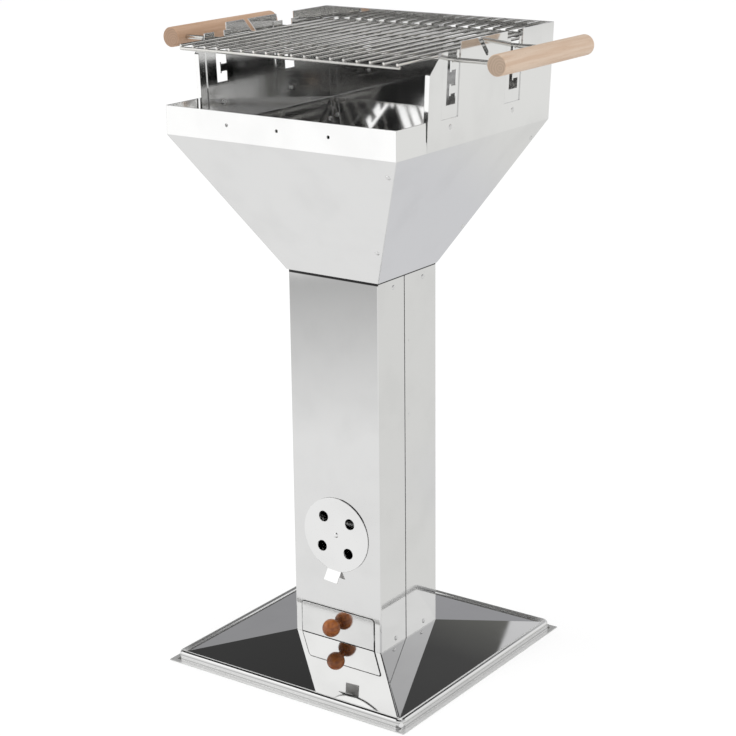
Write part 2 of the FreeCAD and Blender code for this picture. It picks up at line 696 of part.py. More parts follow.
def make_hopper_side(label, side):
    """A side panel: low front flap, slit, and the leaning guard with its windows, notch and return."""
    body = new_body(label)
    place(body, up=HEAD)
    sign = 1 if side == "right" else -1
    fold = "sizes.slope_height"
    panel_taper(body, "slope", side, ("0", None), (fold, None), ("0", WALL), (WALL, "0"))

    # The low flap stops short of the guard by a slit that ends a little above the fold
    flap_front = "-%s + %s" % (HALF_HOPPER, WALL if side == "right" else "0")
    flap_back = "%s - sizes.guard_slit" % GUARD_FRONT
    faces = sorted_pair(signed("(%s - %s)" % (HALF_HOPPER, WALL), sign), signed(HALF_HOPPER, sign), sign)
    flap = new_sketch(body, "low_flap", height=fold)
    rectangle(flap, *faces, flap_front, flap_back)
    pad(body, flap, "sizes.collar_height")
    bridge = new_sketch(body, "slit_foot", height=fold)
    rectangle(bridge, *faces, flap_back, GUARD_FRONT)
    pad(body, bridge, "sizes.guard_relief")

    # The guard leans outwards from the fold
    back = HALF_HOPPER if side == "right" else "(%s - %s)" % (HALF_HOPPER, WALL)
    leaned = "(%s + sizes.guard_flare)" % HALF_HOPPER
    top_faces = sorted_pair(signed("(%s - %s)" % (leaned, WALL), sign), signed(leaned, sign), sign)
    front_and_back = (GUARD_FRONT, back)
    taper(body, "guard", (fold,) + faces + front_and_back, (GUARD_TOP,) + top_faces + front_and_back)
    rise = "(sizes.guard_relief + sizes.return_rise)"
    start = "(%s + %s)" % (fold, rise)
    lean = "(sizes.guard_flare * %s / sizes.guard_height)" % rise
    low_outer = "(%s + %s)" % (HALF_HOPPER, lean)
    low_faces = sorted_pair(signed("(%s - sizes.guard_return)" % low_outer, sign),
                            signed(low_outer, sign), sign)
    high_faces = sorted_pair(signed("(%s - sizes.guard_return)" % leaned, sign), signed(leaned, sign), sign)
    strip = (GUARD_FRONT, "%s + %s" % (GUARD_FRONT, WALL))
    taper(body, "return", (start,) + low_faces + strip, (GUARD_TOP,) + high_faces + strip)
    upright_top = (COLLAR_TOP, "0") if side == "right" else (GUARD_TOP, "sizes.guard_flare")
    corner_fold(body, side, upright_top)
    corner_bores(body, side)
    neck(body, side)

    # The post in front of the first window is lower than the guard, and its corner is cut off
    corner = new_sketch(body, "guard_corner", "YZ_Plane")
    cut = "sizes.guard_corner"
    outline(corner, [
        (GUARD_FRONT + " - 1", GUARD_TOP + " + 1"),
        (GUARD_FRONT + " - 1", "%s - %s" % (POST_TOP, cut)),
        (GUARD_FRONT, "%s - %s" % (POST_TOP, cut)),
        ("%s + %s" % (GUARD_FRONT, cut), POST_TOP),
        (WINDOW_FRONT + " + 1", POST_TOP),
        (WINDOW_FRONT + " + 1", GUARD_TOP + " + 1"),
    ])
    pocket(body, corner, middle=True)

    # Windows in front of the slotted plates
    sill = "%s - %s - sizes.window_sill" % (ROD_HEIGHT, BOTTOM_DROP)
    for rod, name in ((ROD_FRONT, "front"), (ROD_REAR, "rear")):
        window = new_sketch(body, "window_" + name, "YZ_Plane")
        rectangle(window, "%s - sizes.slot_front - sizes.window_front" % rod,
                  "%s + sizes.slot_rear + sizes.window_rear" % rod, sill, GUARD_TOP + " + 1")
        pocket(body, window, middle=True)

    # Slanting notch for a spit in the top edge, with a round end
    notch = new_sketch(body, "spit_notch", "YZ_Plane")
    length = "sqrt(sizes.notch_lean ^ 2 + sizes.notch_depth ^ 2)"
    level = "(sizes.notch_width / 2 * sizes.notch_lean / %s)" % length
    upright = "(sizes.notch_width / 2 * sizes.notch_depth / %s)" % length
    foot = "sizes.notch_place + sizes.notch_lean / 2"
    low = "%s - sizes.notch_depth" % GUARD_TOP
    mouth = "sizes.notch_place - sizes.notch_lean / 2 - sizes.notch_lean / sizes.notch_depth"
    half = "sizes.notch_width / 2 * %s / sizes.notch_depth" % length
    outline(notch, [
        ("%s - %s" % (foot, upright), "%s - %s" % (low, level)),
        ("%s + %s" % (foot, level), "%s - %s" % (low, upright)),
        ("%s + %s" % (foot, upright), "%s + %s" % (low, level)),
        ("%s + %s" % (mouth, half), GUARD_TOP + " + 1"), ("%s - %s" % (mouth, half), GUARD_TOP + " + 1"),
    ], {0: ("sizes.notch_width / 2", "left"), 1: ("sizes.notch_width / 2", "left")})
    pocket(body, notch, middle=True)

    # Bores: rivets of the slotted plates on the guard, screws of the column in the neck
    bores = new_sketch(body, "plate_bores", "YZ_Plane")
    for rod in (ROD_FRONT, ROD_REAR):
        circle(bores, plate_rivet_along(rod), PLATE_RIVET_HEIGHT, "sizes.rivet_bore")
    pocket(body, bores, middle=True)
    neck_bores = new_sketch(body, "neck_bores", "YZ_Plane")
    for along in (SCREW_FRONT, SCREW_REAR):
        circle(neck_bores, along, "-sizes.neck_screw_drop", "sizes.screw_bore")
    pocket(body, neck_bores, middle=True)


# Slotted plates: a slot open at the top, with two T-headed tongues that reach forwards from its rear edge
BOTTOM_DROP = "(sizes.level_step + sizes.last_step + sizes.rod_diameter / 2)"
PLATE_RIVET_HEIGHT = "(%s - %s - sizes.plate_rivet_drop)" % (ROD_HEIGHT, BOTTOM_DROP)


def plate_rivet_along(rod):
    """Where the rivet of a plate lies along Y: under the middle of its slot."""
    return "(%s + (sizes.slot_rear - sizes.slot_front) / 2)" % rod


def make_ladder(label, side, rod):
    """One slotted plate, flat against the inside of the leaning guard."""
    body = new_body(label)
    sign = 1 if side == "right" else -1
    slant = "atan(sizes.guard_flare / sizes.guard_height)"
    place(body, across=signed("(%s - %s)" % (HALF_HOPPER, WALL), sign), up="%s + sizes.slope_height" % HEAD)
    body.Placement.Rotation = Rotation(Vector(0, 1, 0), 1)
    body.setExpression("Placement.Rotation.Angle", slant)
    body.Placement.Rotation.Axis = Vector(0, sign, 0)
    stretch = "sqrt(1 + (sizes.guard_flare / sizes.guard_height) ^ 2)"

    def up(height):
        """A height above the fold, measured along the leaning guard."""
        return "(%s) * %s" % (height, stretch)

    rear = "%s + sizes.slot_rear" % rod
    front = "%s - sizes.slot_front" % rod
    tip = "%s - sizes.tongue_tip" % rod
    shoulder = "%s - sizes.tongue_neck" % rod
    left = "%s - sizes.window_front - sizes.plate_margin" % front
    right = "%s + sizes.window_rear + sizes.plate_margin" % rear
    bottom = "sizes.rod_rise - %s" % BOTTOM_DROP
    lean = "sizes.guard_flare / sizes.guard_height"
    foot = up("%s - sizes.window_sill - sizes.plate_foot" % bottom)
    top = up("sizes.guard_height - sizes.plate_top_gap")
    corners = [(left, foot), (right, foot), (right, top), (rear, top)]
    for level in (0, 1):
        seat = "sizes.rod_rise - sizes.rod_diameter / 2 - %d * sizes.level_step - sizes.plate_sheet * %s" % (
            level, lean)
        head_top = "%s + sizes.tongue_lip" % seat
        head_low = "%s - sizes.tongue_head" % head_top
        neck_low = "%s + sizes.tongue_lip" % head_low
        corners += [
            (rear, up(seat)), (shoulder, up(seat)), (shoulder, up(head_top)), (tip, up(head_top)),
            (tip, up(head_low)), (shoulder, up(head_low)), (shoulder, up(neck_low)), (rear, up(neck_low)),
        ]
    corners += [(rear, up(bottom)), (front, up(bottom)), (front, top), (left, top)]
    profile = new_sketch(body, "slotted_plate", "YZ_Plane")
    outline(profile, corners)
    pad(body, profile, "sizes.plate_sheet", backwards=sign > 0)
    bore = new_sketch(body, "plate_bore", "YZ_Plane")
    circle(bore, plate_rivet_along(rod),
           up("%s - sizes.plate_rivet_drop + sizes.hopper_wall * %s" % (bottom, lean)), "sizes.rivet_bore")
    pocket(body, bore, middle=True)


# Wire grates


def wire_grate(body, half_width, half_length, bars, bar, wire):
    """Bars along Y laid on an end wire at the front and back, sunk into it a little by the weld.

    The end wires run along X, with their axes at the height of the body's origin.
    """
    rise = "(%s / 2 + %s / 2 - sizes.weld_sink)" % (bar, wire)
    first = new_sketch(body, "first_bar", "XZ_Plane")
    circle(first, "-" + half_width, rise, bar)
    bar_pad = pad(body, first, "2 * " + half_length, middle=True)
    row = body.newObject("PartDesign::LinearPattern", "bars")
    row.Originals = [bar_pad]
    row.Direction = (first, ["H_Axis"])
    row.setExpression("Length", "2 * " + half_width)
    row.setExpression("Occurrences", bars)
    body.Tip = row
    ends = new_sketch(body, "end_wires", "YZ_Plane")
    for sign in (1, -1):
        circle(ends, signed("(%s - %s / 2)" % (half_length, wire), sign), "0", wire)
    pad(body, ends, "2 * %s + %s" % (half_width, bar), middle=True)


def make_cooking_grate():
    """The bars and end wires of the cooking grate, with shallow saddles over the two rods."""
    body = new_body("cooking_grate")
    drop = "(sizes.rod_diameter - sizes.end_wire) / 2"
    place(body, along="sizes.grate_shift", up="%s + %s + %s" % (HEAD, ROD_HEIGHT, drop))
    wire_grate(body, "(sizes.grate_width / 2 - sizes.bar_diameter / 2)", "(sizes.grate_length / 2)",
               "sizes.grate_bar_count", "sizes.bar_diameter", "sizes.end_wire")
    saddles = new_sketch(body, "saddles", "YZ_Plane")
    for rod in (ROD_FRONT, ROD_REAR):
        bore = "sizes.rod_diameter + 2 * sizes.saddle_gap"
        circle(saddles, "%s - sizes.grate_shift" % rod, "-" + drop, bore)
    pocket(body, saddles, middle=True)


def make_grate_rods():
    """The two rods under the bars, which run through the slots into the grips."""
    body = new_body("grate_rods")
    body.AllowCompound = True
    place(body, along=ROD_FRONT, up="%s + %s" % (HEAD, ROD_HEIGHT))
    section = new_sketch(body, "rod", "YZ_Plane")
    circle(section, "0", "0", "sizes.rod_diameter")
    rod = pad(body, section, "2 * (sizes.grip_reach + sizes.rod_bite)", middle=True)
    pair = body.newObject("PartDesign::LinearPattern", "rod_pair")
    pair.Originals = [rod]
    pair.Direction = (section, ["H_Axis"])
    pair.setExpression("Length", "sizes.rod_spacing")
    pair.Occurrences = 2
    body.Tip = pair


def make_grip(label, sign):
    """A turned beech grip with softened ends and two blind holes for the rods."""
    body = new_body(label)
    place(body, signed("sizes.grip_reach", sign), "%s - sizes.grip_overhang" % ROD_FRONT,
          "%s + %s" % (HEAD, ROD_HEIGHT))
    radius = "(sizes.grip_diameter / 2)"
    edge = "sizes.grip_edge"
    profile = new_sketch(body, "grip_profile")
    outline(profile, [
        ("0", "0"), ("%s - %s" % (radius, edge), "0"), (radius, edge),
        (radius, "sizes.grip_length - %s" % edge), ("%s - %s" % (radius, edge), "sizes.grip_length"),
        ("0", "sizes.grip_length"),
    ], {1: (edge, "left"), 3: (edge, "left")})
    revolve(body, profile)
    depth = "(sizes.rod_bite + sizes.bite_gap)"
    holes = new_sketch(body, "rod_holes", "YZ_Plane", height=signed(depth, sign))
    for along in ("sizes.grip_overhang", "sizes.grip_overhang + sizes.rod_spacing"):
        circle(holes, along, "0", "sizes.rod_diameter + 2 * sizes.saddle_gap")
    pocket(body, holes, backwards=sign < 0)


def make_charcoal_grate():
    """The lower grate, whose end wires rest on the folded corner flanges of the funnel."""
    body = new_body("charcoal_grate")
    place(body, up="%s + sizes.charcoal_rise" % HEAD)
    run = "(%s - %s - sizes.hopper_overhang)" % (HALF_HOPPER, HALF_DEPTH)
    lean = "sqrt(1 + (%s / sizes.slope_height) ^ 2)" % run
    wire_middle = "(%s - (sizes.charcoal_wire / 2 + sizes.charcoal_gap) * %s)" % (
        funnel("sizes.charcoal_rise", "along", TWO_WALLS), lean)
    wire_end = funnel("(sizes.charcoal_rise - sizes.charcoal_wire / 2)", "across",
                      "%s + sizes.charcoal_gap" % TWO_WALLS)
    wire_grate(body, "(%s - sizes.charcoal_bar / 2)" % wire_end,
               "(%s + sizes.charcoal_wire / 2)" % wire_middle,
               "sizes.charcoal_bar_count", "sizes.charcoal_bar", "sizes.charcoal_wire")


# Ash drawer


def make_drawer():
    """The drawer: a tray on two low runners, with a flush front whose upper corners are round."""
    body = new_body("ash_drawer")
    place(body, DRAWER_ACROSS, "-" + HALF_DEPTH, "sizes.base_top")
    sheet_in = "sizes.drawer_sheet"
    half_tray = "(sizes.drawer_width / 2 - sizes.tray_inset)"
    tray = new_sketch(body, "tray", height="sizes.drawer_lift")
    rectangle(tray, "-" + half_tray, half_tray, "0", "sizes.tray_length")
    pad(body, tray, "sizes.tray_wall")
    runners = new_sketch(body, "runners")
    runner_in = "(%s - sizes.runner_width)" % half_tray
    for left, right in (("-" + half_tray, "-" + runner_in), (runner_in, half_tray)):
        rectangle(runners, left, right, "sizes.runner_start", "sizes.tray_length")
    pad(body, runners, "sizes.drawer_lift")
    hollow = new_sketch(body, "tray_hollow", height="sizes.drawer_lift + sizes.tray_wall")
    inner = "(%s - %s)" % (half_tray, sheet_in)
    rectangle(hollow, "-" + inner, inner, sheet_in, "sizes.tray_length - %s" % sheet_in)
    pocket(body, hollow, length="sizes.tray_wall - %s" % sheet_in)
    front = new_sketch(body, "drawer_front", "XZ_Plane")
    half = "(sizes.drawer_width / 2)"
    corner = "sizes.drawer_corner"
    low = "sizes.drawer_lift"
    high = "(%s + sizes.drawer_height)" % low
    outline(front, [
        ("-" + half, low), (half, low),
        (half, "%s - %s" % (high, corner)), ("%s - %s" % (half, corner), high),
        ("-%s + %s" % (half, corner), high), ("-" + half, "%s - %s" % (high, corner)),
    ], {2: (corner, "left"), 4: (corner, "left")})
    pad(body, front, sheet_in, backwards=True)
    bore = new_sketch(body, "knob_bore", "XZ_Plane")
    circle(bore, "0", "sizes.knob_height", "sizes.knob_bore")
    pocket(body, bore, length="2 * " + sheet_in)


def make_knob():
    """The turned ball knob with a short neck and a bore for its screw."""
    body = new_body("drawer_knob")
    place(body, DRAWER_ACROSS, "-" + HALF_DEPTH, "sizes.base_top + sizes.knob_height")
    ball = "(sizes.knob_diameter / 2)"
    neck_radius = "(sizes.knob_neck / 2)"
    neck_end = "sizes.knob_neck_length"
    middle = "(%s + sqrt(%s ^ 2 - %s ^ 2))" % (neck_end, ball, neck_radius)
    bore = "(sizes.knob_bore / 2)"
    profile = new_sketch(body, "knob_profile")
    outline(profile, [
        (bore, "0"), (bore, "-sizes.knob_bore_depth"), ("0", "-sizes.knob_bore_depth"),
        ("0", "-%s - %s" % (middle, ball)), (ball, "-" + middle), (neck_radius, "-" + neck_end),
        (neck_radius, "0"),
    ], {3: (ball, "left"), 4: (ball, "left")})
    revolve(body, profile)


def make_knob_screw():
    """The screw that holds the knob, with its head inside the tray."""
    body = new_body("knob_screw")
    place(body, DRAWER_ACROSS, "-" + HALF_DEPTH, "sizes.base_top + sizes.knob_height")
    face = "sizes.drawer_sheet"
    head_end = "(%s + sizes.screw_head_height)" % face
    head = "(sizes.screw_head / 2)"
    shank = "(sizes.knob_bore / 2 - sizes.screw_fit)"
    profile = new_sketch(body, "screw_profile")
    outline(profile, [
        ("0", "%s - sizes.knob_screw_length" % face), (shank, "%s - sizes.knob_screw_length" % face),
        (shank, face), (head, face), (head, head_end), ("0", head_end),
    ])
    revolve(body, profile)


# Air vent


def make_vent_disc():
    """The turning disc with four air holes and a tab bent out at its lower edge."""
    body = new_body("vent_disc")
    place(body, along="-%s - sizes.vent_standoff" % HALF_DEPTH, up="sizes.base_top + sizes.vent_height")
    body.Placement.Rotation = Rotation(Vector(0, 1, 0), 1)
    body.setExpression("Placement.Rotation.Angle", "sizes.vent_turn_angle * 1deg")
    radius = "(sizes.vent_diameter / 2)"
    thick = "sizes.vent_sheet"
    disc = new_sketch(body, "disc", "XZ_Plane")
    circle(disc, "0", "0", "sizes.vent_diameter")
    circle(disc, "0", "0", "sizes.pivot_diameter + 2 * sizes.pivot_fit")
    pad(body, disc, thick)
    tab = new_sketch(body, "tab_profile", "YZ_Plane")
    bend = "(sizes.vent_tab_angle * 1deg)"
    out = "(sizes.vent_tab_length * sin%s)" % bend
    down = "(%s + sizes.vent_tab_length * cos%s)" % (radius, bend)
    root = "-%s + sizes.vent_tab_root" % radius
    outline(tab, [
        ("0", root), ("-" + thick, root), ("-" + thick, "-%s + %s * tan(%s / 2)" % (radius, thick, bend)),
        ("-%s - %s * cos%s" % (out, thick, bend), "-%s + %s * sin%s" % (down, thick, bend)),
        ("-" + out, "-" + down), ("0", "-" + radius),
    ])
    pad(body, tab, "sizes.vent_tab_width", middle=True)
    hole = new_sketch(body, "air_hole", "XZ_Plane")
    offset = "(sizes.vent_circle / 2 * sqrt(0.5))"
    circle(hole, offset, offset, "sizes.vent_hole")
    cut = pocket(body, hole, middle=True)
    ring = body.newObject("PartDesign::PolarPattern", "air_holes")
    ring.Originals = [cut]
    ring.Axis = (hole, ["N_Axis"])
    ring.Angle = 360
    ring.Occurrences = 4
    body.Tip = ring


def make_vent_spacer():
    """The washer between the disc and the column."""
    body = new_body("vent_spacer")
    place(body, along="-" + HALF_DEPTH, up="sizes.base_top + sizes.vent_height")
    washer = new_sketch(body, "washer", "XZ_Plane")
    circle(washer, "0", "0", "sizes.spacer_diameter")
    circle(washer, "0", "0", "sizes.pivot_diameter + 2 * sizes.pivot_fit")
    pad(body, washer, "sizes.vent_standoff")


def make_vent_rivet():
    """The rivet that the disc turns on: a low dome outside and a flat tail inside the column."""
    body = new_body("vent_rivet")
    place(body, along="-" + HALF_DEPTH, up="sizes.base_top + sizes.vent_height")
    shank = "(sizes.pivot_diameter / 2)"
    head = "(sizes.pivot_head / 2)"
    face = "(sizes.vent_standoff + sizes.vent_sheet)"
    top = "(%s + sizes.pivot_dome)" % face
    inside = "sizes.column_sheet"
    tail = "(%s + sizes.pivot_dome)" % inside
    dome = "((%s ^ 2 + sizes.pivot_dome ^ 2) / (2 * sizes.pivot_dome))" % head
    profile = new_sketch(body, "rivet_profile")
    outline(profile, [
        ("0", "-" + top), (head, "-" + face), (shank, "-" + face), (shank, inside), (head, inside),
        (head, tail), ("0", tail),
    ], {0: (dome, "left")})
    revolve(body, profile)


# Fastener groups: many copies of one small turned solid, whose axes follow the leaning sheets


def domed(shank, head, dome, grip, tail):
    """A rivet or screw along +Z from the sheet's outer face: a domed head outside, a shank, a tail inside."""
    radius = (head ** 2 / 4 + dome ** 2) / (2 * dome)
    ball = Part.makeSphere(radius, Vector(0, 0, dome - radius))
    cap = ball.common(Part.makeCylinder(head / 2, dome, Vector(0, 0, 0)))
    stem = Part.makeCylinder(shank / 2, grip + tail, Vector(0, 0, -grip - tail))
    solid = cap.fuse(stem)
    if tail:
        solid = solid.fuse(Part.makeCylinder(head / 2 * 0.8, tail, Vector(0, 0, -grip - tail)))
    return solid.removeSplitter()


def group(label, seats):
    """A node of small solids; a seat is the solid, a point on the sheet and the sheet's outward normal."""
    copies = []
    for solid, point, normal in seats:
        copy = solid.copy()
        copy.Placement = FreeCAD.Placement(point, Rotation(Vector(0, 0, 1), normal))
        copies.append(copy)
    feature = doc.addObject("Part::Feature", label)
    feature.Label = label
    feature.Shape = Part.makeCompound(copies)
    nodes.append(feature)


def make_fasteners():
    """Rivets at the hopper's corners and slotted plates, and the screws at both ends of the column."""
    head = size("base_top") + size("column_height")
    half_hopper = size("hopper_width") / 2
    rise = size("slope_height")
    half_column = {"across": size("column_width") / 2, "along": size("column_depth") / 2}
    low = {key: value + size("hopper_overhang") for key, value in half_column.items()}
    grow = {key: (half_hopper - value) / rise for key, value in low.items()}
    shank = size("rivet_bore") - 2 * size("screw_fit")

    def rivet(grip):
        """A blind rivet through that much sheet."""
        return domed(shank, size("rivet_head"), size("rivet_dome"), grip, size("rivet_dome"))

    # One pair through the plain end of each panel and the flange behind it
    flat = {key: rivet(2 * size("hopper_wall") / math.sqrt(1 + value ** 2)) for key, value in grow.items()}
    seats = []
    for height in (size("rivet_low"), size("rivet_high")):
        across = low["across"] + grow["across"] * height
        along = low["along"] + grow["along"] * height
        inset = size("rivet_inset")
        up = head + height
        seats += [
            (flat["along"], Vector(across - inset, -along, up), Vector(0, -1, -grow["along"])),
            (flat["across"], Vector(across, along - inset, up), Vector(1, 0, -grow["across"])),
            (flat["along"], Vector(-across + inset, along, up), Vector(0, 1, -grow["along"])),
            (flat["across"], Vector(-across, -along + inset, up), Vector(-1, 0, -grow["across"])),
        ]
    group("hopper_rivets", seats)

    # Rivets of the slotted plates
    bottom = size("rod_rise") - size("level_step") - size("last_step") - size("rod_diameter") / 2
    plate_rise = bottom - size("plate_rivet_drop")
    lean = size("guard_flare") / size("guard_height")
    through = rivet(size("hopper_wall") / math.sqrt(1 + lean ** 2) + size("plate_sheet"))
    seats = []
    for side in (1, -1):
        for row in (-1, 1):
            along = size("rod_shift") + row * size("rod_spacing") / 2
            along += (size("slot_rear") - size("slot_front")) / 2
            across = side * (half_hopper + lean * plate_rise)
            seats.append((through, Vector(across, along, head + rise + plate_rise), Vector(side, 0, -lean)))
    group("ladder_rivets", seats)

    # Screws at the head and foot of the column
    seats_of = {"column_head_screws": head - size("neck_screw_drop"),
                "column_foot_screws": size("base_top") + size("foot_screw_height")}
    screw = domed(size("screw_bore") - 2 * size("screw_fit"), size("screw_head"),
                  size("screw_head_height"), size("screw_length"), 0)
    rows = (-half_column["along"] + size("screw_front"), half_column["along"] - size("screw_rear"))
    for label, height in seats_of.items():
        seats = [(screw, Vector(side * half_column["across"], along, height), Vector(side, 0, 0))
                 for side in (1, -1) for along in rows]
        group(label, seats)


make_base()
make_column_front()
make_column_rear()
make_hopper_front()
make_hopper_side("hopper_left", "left")
make_hopper_side("hopper_right", "right")
make_hopper_rear()
for plate_side in ("left", "right"):
    for plate_row, plate_rod in (("front", ROD_FRONT), ("rear", ROD_REAR)):
        make_ladder("ladder_%s_%s" % (plate_side, plate_row), plate_side, plate_rod)
make_cooking_grate()
make_grate_rods()
make_grip("grip_left", -1)
make_grip("grip_right", 1)
make_charcoal_grate()
make_drawer()
make_knob()
make_knob_screw()
make_vent_disc()
make_vent_spacer()
make_vent_rivet()
make_fasteners()
doc.recompute()

for item in doc.Objects:
    if "Invalid" in item.State or "Error" in item.State:
        raise RuntimeError("%s is in state %s" % (item.Name, item.State))
os.makedirs("parts", exist_ok=True)
for node in nodes:
    if node.Shape.isNull() or not node.Shape.isValid() or not node.Shape.Solids:
        raise RuntimeError("%s has no valid solid" % node.Label)
    node.Shape.exportStep("parts/%s.step" % node.Label)
    box = node.Shape.BoundBox
    print("%-20s %2d solids %9.1f mm3  x %7.1f %7.1f  y %7.1f %7.1f  z %7.1f %7.1f" % (
        node.Label, len(node.Shape.Solids), node.Shape.Volume,
        box.XMin, box.XMax, box.YMin, box.YMax, box.ZMin, box.ZMax))
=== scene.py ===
"""Looks of a charcoal column barbecue: mirror steel sheet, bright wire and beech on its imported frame.

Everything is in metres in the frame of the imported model: X to the right, Y to the back, Z up, with the
origin on the floor under the middle of the base.
"""
from __future__ import annotations

import json
import logging
import math
from dataclasses import dataclass, replace
from enum import Enum
from typing import Iterable, Sequence

import bpy
from mathutils import Matrix, Vector

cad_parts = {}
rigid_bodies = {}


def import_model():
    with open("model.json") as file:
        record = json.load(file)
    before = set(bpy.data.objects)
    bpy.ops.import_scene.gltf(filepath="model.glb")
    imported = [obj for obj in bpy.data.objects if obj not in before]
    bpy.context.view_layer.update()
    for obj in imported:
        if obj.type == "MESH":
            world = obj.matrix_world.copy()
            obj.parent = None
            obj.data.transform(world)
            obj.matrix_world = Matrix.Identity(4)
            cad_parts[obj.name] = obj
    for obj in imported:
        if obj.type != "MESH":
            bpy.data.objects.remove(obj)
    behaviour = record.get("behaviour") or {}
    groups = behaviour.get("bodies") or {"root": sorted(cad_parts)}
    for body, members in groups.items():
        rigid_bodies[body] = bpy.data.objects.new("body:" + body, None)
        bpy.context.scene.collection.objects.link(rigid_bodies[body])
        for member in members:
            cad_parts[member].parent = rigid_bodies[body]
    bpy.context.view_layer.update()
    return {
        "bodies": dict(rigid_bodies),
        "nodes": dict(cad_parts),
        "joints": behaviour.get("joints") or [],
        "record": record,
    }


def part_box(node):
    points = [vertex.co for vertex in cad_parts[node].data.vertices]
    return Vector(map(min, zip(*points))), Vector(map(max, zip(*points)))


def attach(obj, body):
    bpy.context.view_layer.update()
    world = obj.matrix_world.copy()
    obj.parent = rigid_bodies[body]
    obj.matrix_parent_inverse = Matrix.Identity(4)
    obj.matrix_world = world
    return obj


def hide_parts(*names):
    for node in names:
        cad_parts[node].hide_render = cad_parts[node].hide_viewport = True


log = logging.getLogger("column_barbecue")

MM = 0.001
FULL_TURN = 2 * math.pi
Span = tuple[float, float]
Triple = tuple[float, float, float]


class Slot(Enum):
    """The record's material slots named for the new pieces, which Shape.build does not use."""

    SHEET = "stainless_sheet"
    WIRE = "stainless_wire"
    BEECH = "oiled_beech"
    KNOB = "varnished_knob_wood"


class Side(Enum):
    """The two sides of the barbecue, with the sign of X on each."""

    LEFT = -1
    RIGHT = 1


# Shader maths


class Signal:
    """An output socket, on which Python arithmetic adds Math nodes."""

    def __init__(self, board: NodeBoard, socket: bpy.types.NodeSocket | None) -> None:
        """Wrap a socket of a board."""
        self.board = board
        self.socket = socket

    def _math(self, operation: str, first: Signal | float, second: Signal | float) -> Signal:
        """Add one Math node and return its result."""
        return self.board.node("ShaderNodeMath", {"operation": operation}, {0: first, 1: second})

    def __add__(self, other: Signal | float) -> Signal:
        """Sum."""
        return self._math("ADD", self, other)

    def __radd__(self, other: float) -> Signal:
        """Sum with a number on the left."""
        return self._math("ADD", other, self)

    def __sub__(self, other: Signal | float) -> Signal:
        """Difference."""
        return self._math("SUBTRACT", self, other)

    def __rsub__(self, other: float) -> Signal:
        """Difference from a number on the left."""
        return self._math("SUBTRACT", other, self)

    def __mul__(self, other: Signal | float) -> Signal:
        """Product."""
        return self._math("MULTIPLY", self, other)

    def __rmul__(self, other: float) -> Signal:
        """Product with a number on the left."""
        return self._math("MULTIPLY", other, self)

    def __abs__(self) -> Signal:
        """Size without sign."""
        return self._math("ABSOLUTE", self, 0.0)

    def larger(self, other: Signal | float) -> Signal:
        """The larger of two values."""
        return self._math("MAXIMUM", self, other)

    def above(self, low: float, high: float) -> Signal:
        """A soft step.

        Args:
            low: the value up to which the result is 0.
            high: the value from which the result is 1.

        Returns:
            The step as a signal from 0 to 1.
        """
        return self.board.node(
            "ShaderNodeMapRange",
            {"interpolation_type": "SMOOTHSTEP"},
            {"Value": self, "From Min": low, "From Max": high},
        )

    def ramp(self, low: float, high: float) -> Signal:
        """A straight ramp from 0 at one value to 1 at another."""
        inputs = {"Value": self, "From Min": low, "From Max": high}
        return self.board.node("ShaderNodeMapRange", inputs=inputs)


Value = Signal | float | tuple[float, ...]
Sockets = dict[str | int, Value]


